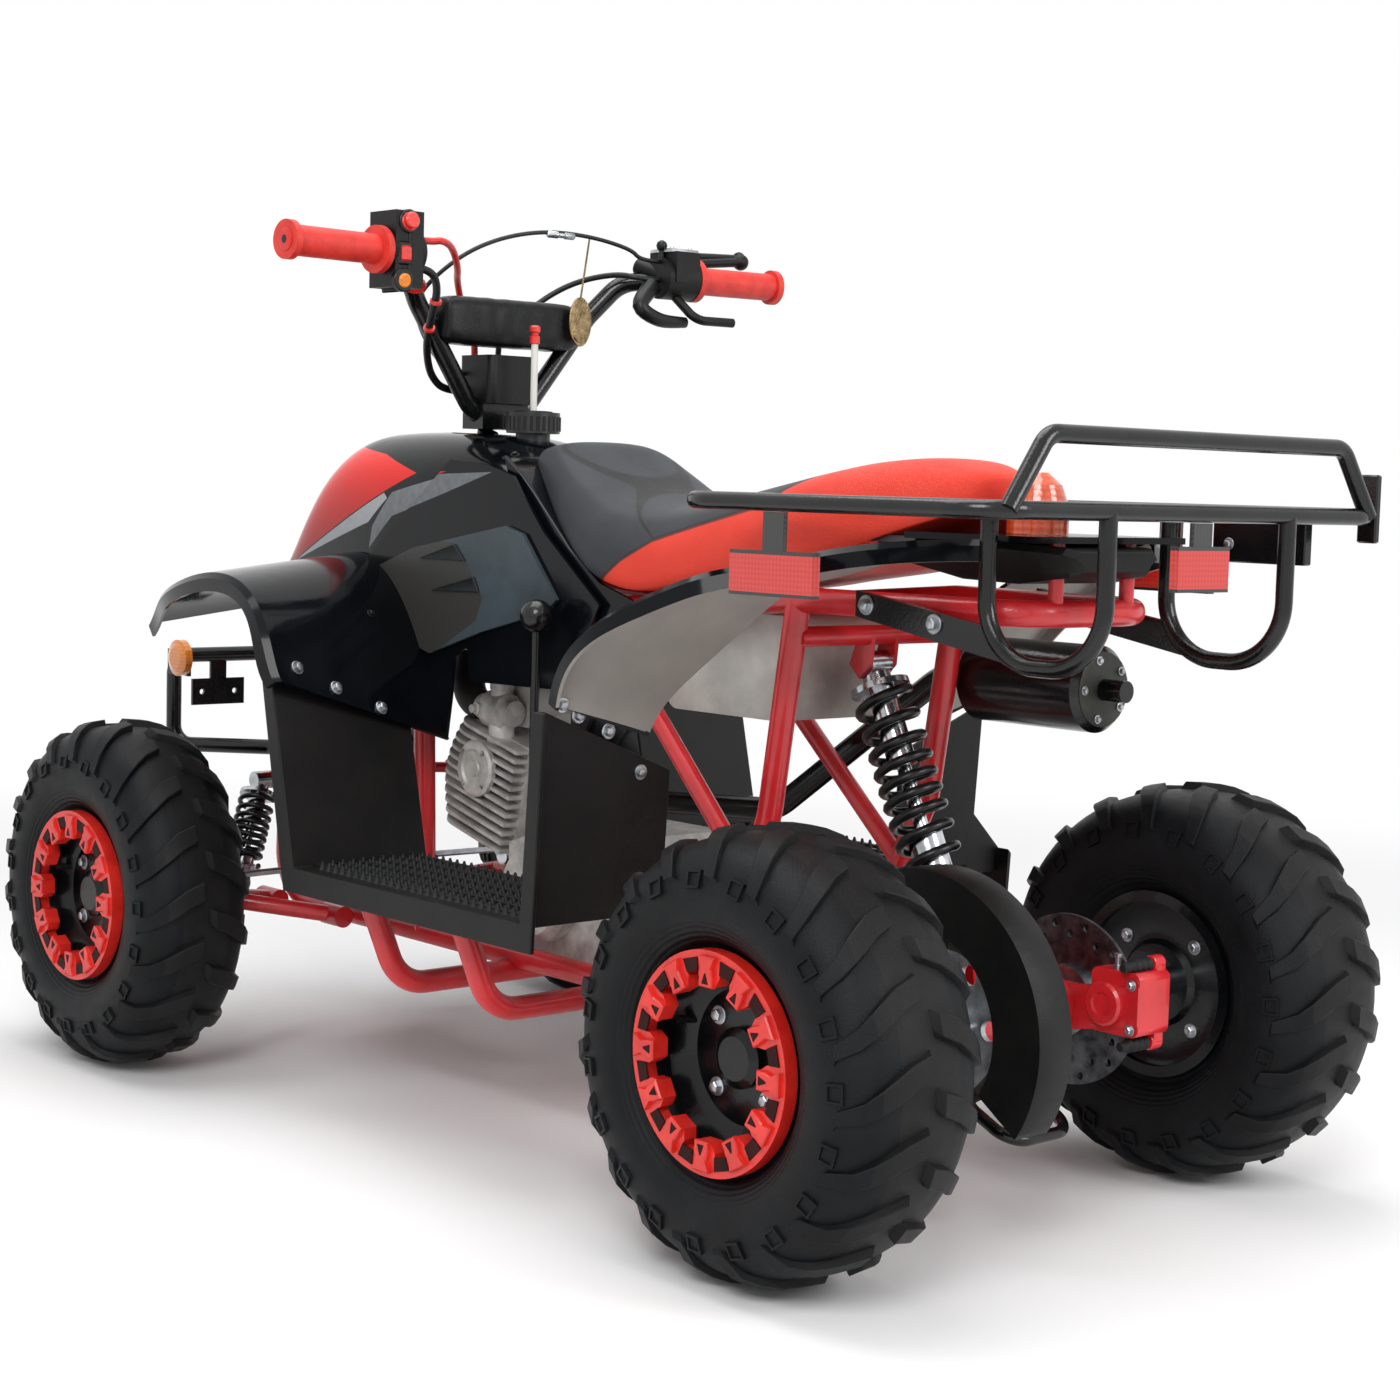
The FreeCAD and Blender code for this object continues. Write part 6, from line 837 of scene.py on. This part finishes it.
# Footwells: a rubber mat of small spikes on each floor. Hexagon screws with washers fix the fenders
# to their walls, the rack to its stays, and the trim to the bodywork.
MAT_X, MAT_Y, MAT_Z, SPIKE_PITCH = -0.196, 0.188, 0.2735, 0.013
mat_rubber = finish("mat_rubber", "0d0e0f", "191b1c", 0.03, (0.5, 0.7), 0.0004, 0.0012, specular=0.3)[0]
for side, label in SIDES:
    mat = Shape()
    for row in range(28):
        for column in range(11):
            mat.turned((MAT_X + row * SPIKE_PITCH, side * (MAT_Y + column * SPIKE_PITCH), MAT_Z), (0, 0, 1),
                       ((0.0, 0.005), (0.0045, 0.0026), (0.0095, 0.0012)), sides=6)
    mat.made("floor_spikes_" + label, "chassis", mat_rubber)


def mirrored(*seats):
    """These seats, and the same ones on the other side."""
    return [((x, side * y, z), (a, side * b, c)) for side in (1, -1) for (x, y, z), (a, b, c) in seats]


screws("fender_screws", "chassis", mirrored(
    ((0.214, 0.316, 0.4863), (-0.88, -0.16, 0.45)), ((0.2109, 0.2678, 0.4632), (-0.87, -0.16, 0.46)),
    ((0.2089, 0.2096, 0.4391), (-0.85, -0.17, 0.5))) + [
    ((-0.2491, 0.3167, 0.4853), (-1, 0, -0.1)), ((-0.2352, 0.248, 0.456), (-1, 0, -0.06)),
    ((-0.2362, 0.286, 0.473), (-1, 0, -0.06)), ((-0.2335, 0.2051, 0.4137), (-1, 0, -0.06))], 0.0125, zinc)
screws("rack_screws", "chassis", mirrored(
    ((-0.464, 0.131, 0.589), (0, 1, 0)), ((-0.55, 0.131, 0.5765), (0, 1, 0))), 0.015, zinc)
screws("trim_screws", "chassis", mirrored(
    ((0.1647, 0.064, 0.7234), (-0.29, 0.37, 0.89)), ((0.2701, 0.1836, 0.5398), (-0.78, -0.14, 0.61))),
    0.0085, control_black)

# Running gear: a rubber valve in each rim, and six zinc bolts on both the sprocket and the disc. Each
# rear rim is closed on its inner side by a pressed black dish with four bolts.
BOLT_CIRCLE, SPROCKET_FACE, DISC_FACE = 0.034, 0.0732, -0.1068
DISH_INSET, DISH_BOLT_CIRCLE = 0.052, 0.06
for name, (x, y, z), width, body, stood in WHEELS:
    side = 1 if y > 0 else -1
    Shape().rod(((x + 0.062, y + side * 0.03, z + 0.022), (x + 0.066, y + side * 0.052, z + 0.024)), 0.0036,
                steps=1).made("valve_" + name, body, control_black)
    if body == "rear_axle":
        plane = y - side * DISH_INSET
        Shape().turned((x, plane, z), (0, -side, 0), (
            (-0.006, 0.088), (0.0, 0.088), (0.0015, 0.085), (-0.004, 0.074), (-0.004, 0.045), (0.002, 0.04),
            (0.002, 0.03)), sides=40).made("inner_dish_" + name, body, rim_black)
        screws("dish_bolts_" + name, body, circle(4, (x, plane + side * 0.004, z), DISH_BOLT_CIRCLE, -side),
               0.012, zinc)
screws("sprocket_bolts", "rear_axle", circle(6, (REAR_AXLE, SPROCKET_FACE, AXLE_HEIGHT), BOLT_CIRCLE, 1, 0.0)
       + circle(6, (REAR_AXLE, DISC_FACE, AXLE_HEIGHT), BOLT_CIRCLE, -1, 0.0), 0.009, zinc)

# Brake caliper: its cast pots stand out on the inner side. It is bolted together, slides on two pins
# with rubber boots, and has a nipple on top that bleeds it.
PIN_X, PINS, BOOT_FOLDS = -0.617, ((0.2515, -0.006), (0.1755, 0.006)), 4
screws("caliper_bolts", "chassis", [((-0.6225, -0.0803, z), (0, 1, 0)) for z in (0.235, 0.192)]
       + [((x, -0.128, 0.2135), (0, -1, 0)) for x in (-0.61, -0.58)], 0.009, zinc)
pots = Shape().turned((-0.5935, -0.0825, 0.2135), (0, 1, 0), (
    (0.0, 0.0215), (0.008, 0.0215), (0.0105, 0.019), (0.011, 0.012), (0.008, 0.0105), (0.008, 0.002)),
    sides=32)
boots = Shape()
folds = [(0.004 * i, 0.0072 if i % 2 else 0.005) for i in range(1, 2 * BOOT_FOLDS)]
for z, inward in PINS:
    pots.turned((PIN_X, -0.128, z), (0, 1, 0), ((0.0, 0.008), (0.013, 0.008), (0.014, 0.007)), sides=16)
    pots.block((PIN_X, -0.1215, z + inward), (0.018, 0.013, 0.012), 0.0015)
    boots.turned((PIN_X, -0.114, z), (0, 1, 0), (
        (0.0, 0.0045), *folds, (0.03, 0.005), (0.04, 0.0048), (0.041, 0.0035)), sides=16)
pots.made("caliper_pots", "chassis", red_coat)
boots.made("caliper_boots", "chassis", mat_rubber)
Shape().turned((-0.598, -0.09, 0.245), (0, 0, 1), (
    (0.0, 0.0052), (0.005, 0.0052), (0.0055, 0.003), (0.012, 0.003), (0.0125, 0.0042), (0.016, 0.0042)),
    sides=12).made("bleed_nipple", "chassis", zinc)

# Intake side of the engine: a cast carburettor with its float bowl and slide cap, and the black
# rubber duct that brings its air.
THROAT_X, THROAT_Y = 0.205, 0.045
carburettor = Shape().turned((0.18, THROAT_Y, 0.428), (1, 0, 0.08), (
    (0.0, 0.015), (0.01, 0.015), (0.012, 0.021), (0.018, 0.0215), (0.044, 0.0215), (0.047, 0.016),
    (0.064, 0.015)))
carburettor.turned((THROAT_X, THROAT_Y, 0.425), (0, 0, -1), (
    (0.0, 0.015), (0.026, 0.015), (0.027, 0.0165), (0.031, 0.0165), (0.036, 0.011)))
carburettor.turned((THROAT_X, THROAT_Y, 0.434), (0, 0, 1), (
    (0.0, 0.013), (0.02, 0.013), (0.021, 0.0142), (0.03, 0.0142), (0.033, 0.01)))
carburettor.turned((0.222, 0.06, 0.432), (0, 1, 0), (
    (0.0, 0.007), (0.01, 0.007), (0.011, 0.0048), (0.016, 0.0048)))
carburettor.made("carburettor", "chassis", alloy)
Shape().rod(((0.24, 0.045, 0.433), (0.262, 0.043, 0.438), (0.285, 0.034, 0.456), (0.296, 0.02, 0.484)),
            (0.0175, 0.0185, 0.0195, 0.0205), sides=18).made("intake_duct", "chassis", mat_rubber)

# Under the rack a black moulding carries the tail lamp. Flat steel brackets hang from the rack's
# tubes, one of them with two screws.
TAIL_EDGE = 0.006
TAIL_SECTIONS = ((-0.428, 0.104, 0.641, 0.6535), (-0.47, 0.1, 0.628, 0.6535), (-0.53, 0.092, 0.616, 0.653),
                 (-0.59, 0.083, 0.614, 0.651), (-0.64, 0.066, 0.622, 0.648), (-0.65, 0.056, 0.627, 0.644))
Shape().rings([
    [(x, wide, high - TAIL_EDGE), (x, wide - TAIL_EDGE, high), (x, -wide + TAIL_EDGE, high),
     (x, -wide, high - TAIL_EDGE), (x, -wide * 0.86, low + TAIL_EDGE), (x, -wide * 0.8, low),
     (x, wide * 0.8, low), (x, wide * 0.86, low + TAIL_EDGE)]
    for x, wide, low, high in TAIL_SECTIONS]).made("tail_moulding", "chassis", matt_black, sharp=25)
brackets = Shape().block((-0.723, -0.282, 0.6895), (0.021, 0.008, 0.065), 0.0015)
brackets.block((-0.634, -0.237, 0.66), (0.108, 0.0115, 0.052), 0.0012)
brackets.made("rack_brackets", "chassis", black_coat)
screws("bracket_screws", "chassis", [((x, -0.2318, 0.652), (0, 1, 0)) for x in (-0.6, -0.668)], 0.0095, zinc)

# The silencer's end is closed by a turned plate in dull olive steel. A ring of five small screws
# holds it.
LID_PLANE = -0.5005
olive = finish("olive_end_plate", "1d1e18", "2f3026", 0.02, (0.35, 0.55), 0.0004, 0.0015, metal=0.4)[0]
can = [corner.co for corner in nodes["exhaust"].data.vertices if -0.505 < corner.co.x < -0.49]
can_y, can_z = ((min(p[k] for p in can) + max(p[k] for p in can)) / 2 for k in (1, 2))
can_radius = (max(p.z for p in can) - min(p.z for p in can)) / 2
Shape().turned((LID_PLANE, can_y, can_z), (-1, 0, 0), (
    (-0.001, can_radius * 0.86), (0.002, can_radius * 0.86), (0.003, can_radius * 0.8))).made(
    "silencer_lid", "chassis", olive)
screws("silencer_screws", "chassis", [
    ((LID_PLANE - 0.003, can_y + can_radius * 0.7 * cos(a), can_z + can_radius * 0.7 * sin(a)), (-1, 0, 0))
    for a in angles(5)], 0.0075, zinc)
